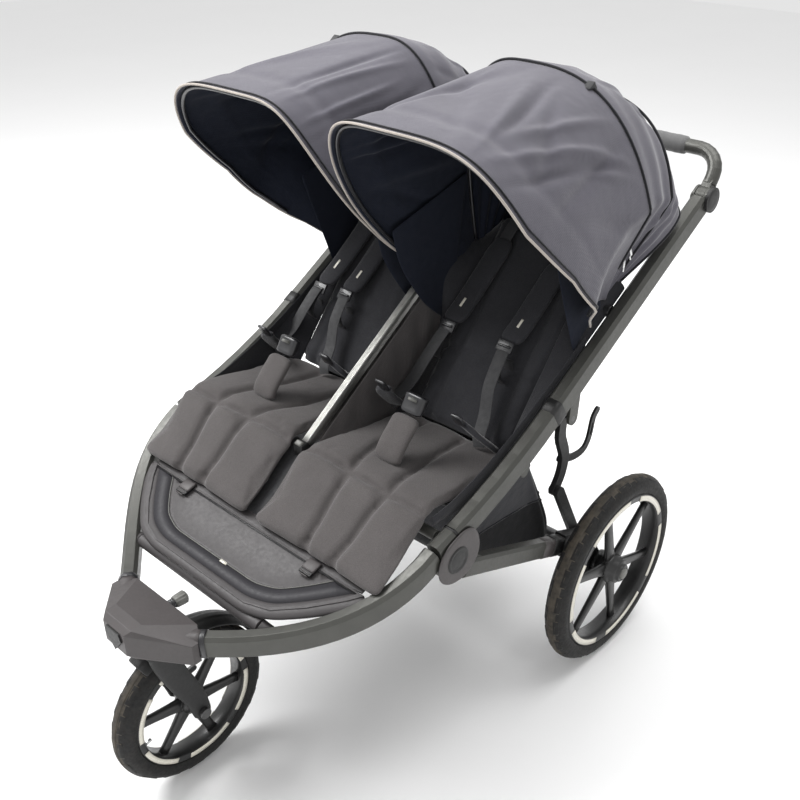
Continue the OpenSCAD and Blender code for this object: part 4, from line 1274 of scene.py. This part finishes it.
def build_fork():
    """Curved fork legs, and a crowned mudguard with a rolled rear end."""
    points = [[-513, 336], [-508, 300], [-489, 248], [-466, 192], [-455, 150], [-455, 136]]
    spine = smooth_path([[0, *p] for p in points], 8)
    share = np.linspace(0, 1, len(spine))
    widths = np.interp(share, [0, 0.2, 0.5, 0.8, 0.93, 1], [50, 46, 42, 34, 30, 14])
    a = np.linspace(0, 2 * np.pi, 28, endpoint=False)
    tangent = unit(np.gradient(spine, axis=0))
    across = np.cross(tangent, [1, 0, 0])
    for name, side in SIDES:
        flat = np.outer(power(np.cos(a), 0.6), [5.8, 0, 0])
        rows = [
            c + [36.5, 0, 0] + flat + (power(np.sin(a), 0.75) * w / 2)[:, None] * v
            for c, w, v in zip(spine, widths, across)
        ]
        shape = grid(rows, wrap=True, caps=True)
        leg = mesh_piece(f"fork_leg_{name}", shape, "caster", "black_casting", side)
        if side > 0:
            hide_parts("fork")
    crown = joined([
        plate([(-542, 333), (-485, 333), (-483, 316), (-534, 316)], -41, 41, 3),
        tube([[0, -515, 330], [0, -515, 384]], 9, 24, (0, 1, 0)),
        tube([[0, -515, 333], [0, -515, 336.4]], 16, 24, (0, 1, 0)),
    ])
    mesh_piece("fork_crown", crown, "caster", "black_casting")
    rows = []
    for turn in np.radians(np.linspace(58, 153, 40)):
        x = np.linspace(-27, 27, 19)
        r = 157 + 7 * (1 - (np.abs(x) / 27) ** 3) + 1.5 * (np.abs(x) < 7)
        rows.append(np.stack([x, FRONT_WHEEL[1] - r * np.cos(turn), FRONT_WHEEL[2] + r * np.sin(turn)], 1))
    guard = mesh_piece("mudguard_shell", grid(rows), "caster", "black_casting")
    thicken(guard, 2.5, 0.0)
    subdivide(guard)
    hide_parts("mudguard")
    end = math.radians(28)
    y, z = FRONT_WHEEL[1] + 157 * math.cos(end), FRONT_WHEEL[2] + 163 * math.sin(end)
    roll = tube([[x, y, z] for x in (-25, -24, 0, 24, 25)], 6, 20)
    mesh_piece("mudguard_roll", roll, "caster", "black_casting")


def build_wheels():
    rear_hub = [
        [6.2, -30], [22, -30], [25, -28], [26, -22], [24, -17], [30, -14], [31, -10], [31, 8], [28, 13],
        [25, 15], [24.5, 24], [22, 26], [19, 26.5], [18.5, 31], [17, 33], [13, 33.3], [12.5, 24],
    ]
    for name, side in SIDES:
        build_wheel(
            f"rear_{name}", REAR_WHEEL, 200, 164, f"rear_wheel_{name}",
            (f"rear_tyre_{name}", f"rear_rim_{name}"), rear_hub, (1,), side,
        )
        button = lathe([[0.01, 37], [7, 37], [10, 36.2], [11.8, 34], [11.9, 28]], REAR_WHEEL, 40)
        cap = mesh_piece(f"wheel_cap_{name}", button, f"wheel_button_{name}", "grey_plastic", side)
        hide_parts(f"wheel_button_{name}")
    front_hub = [
        [5.2, -30], [12, -30], [13, -27], [14, -20], [20, -15], [22, -10], [22, 10], [20, 15], [14, 20],
        [13, 27], [12, 30], [5.2, 30],
    ]
    nodes = ("front_tyre", "front_rim")
    build_wheel("front", FRONT_WHEEL, 150, 116, "front_wheel", nodes, front_hub, (1, -1), turn=20)


# ---- Basket ----


def build_basket():
    """Sagging cargo bag: a soft shell that closes at the bottom, in two tones of cloth."""
    front = smooth_path([[0, -67, 481], [0, -64, 420], [0, -52, 358], [0, 18, 304], [0, 118, 283]], 8)[:, 1:]
    rear = smooth_path([[0, 148, 481], [0, 190, 400], [0, 232, 306], [0, 212, 268], [0, 118, 283]], 8)[:, 1:]
    steps = len(front)
    around = 120
    a = np.linspace(0, 2 * np.pi, around, endpoint=False)
    sx, sy = power(np.cos(a), 0.22), power(np.sin(a), 0.22)
    rows = []
    for i in range(steps):
        d = i / (steps - 1)
        middle, reach = (front[i] + rear[i]) / 2, (rear[i] - front[i]) / 2
        wide = 278 * (1 - max(0, (d - 0.72) / 0.28) ** 3)
        pucker = 1 - 0.012 * (1 + np.sin(a * 14 + 3 * d)) * math.sin(math.pi * min(1, d * 1.3))
        y = middle[0] + reach[0] * sy * pucker
        z = middle[1] + reach[1] * sy - 5 * d * (1 + np.sin(a * 5)) * math.sin(math.pi * d)
        rows.append(np.stack([wide * sx * pucker, y, z], 1))
    bag = mesh_piece("basket_bag", grid(rows, wrap=True), "rear_frame", "basket_fabric")
    bag.data.materials.append(FINISH["side_fabric"])
    for polygon in bag.data.polygons:
        polygon.material_index = 1 if polygon.index < around * 9 else 0
    bag.data.flip_normals()
    thicken(bag, 2.0)
    subdivide(bag)
    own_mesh(bag)
    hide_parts("basket")
    for k, (row, radius, finish) in enumerate(((0, 3.2, "dark_webbing"), (9, 1.8, "dark_piping"))):
        path = np.vstack([rows[row], rows[row][:2]])
        ring = mesh_piece(f"basket_seam_{k + 1}", tube(path, radius, 8), "rear_frame", finish)
        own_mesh(ring)


studio()
for side_name, side_sign in SIDES:
    build_hood(side_name, side_sign)
    build_harness(side_name, side_sign)
    build_frame(side_name, side_sign)
build_seats()
build_middle()
build_tray()
build_nose()
build_fork()
build_wheels()
build_basket()
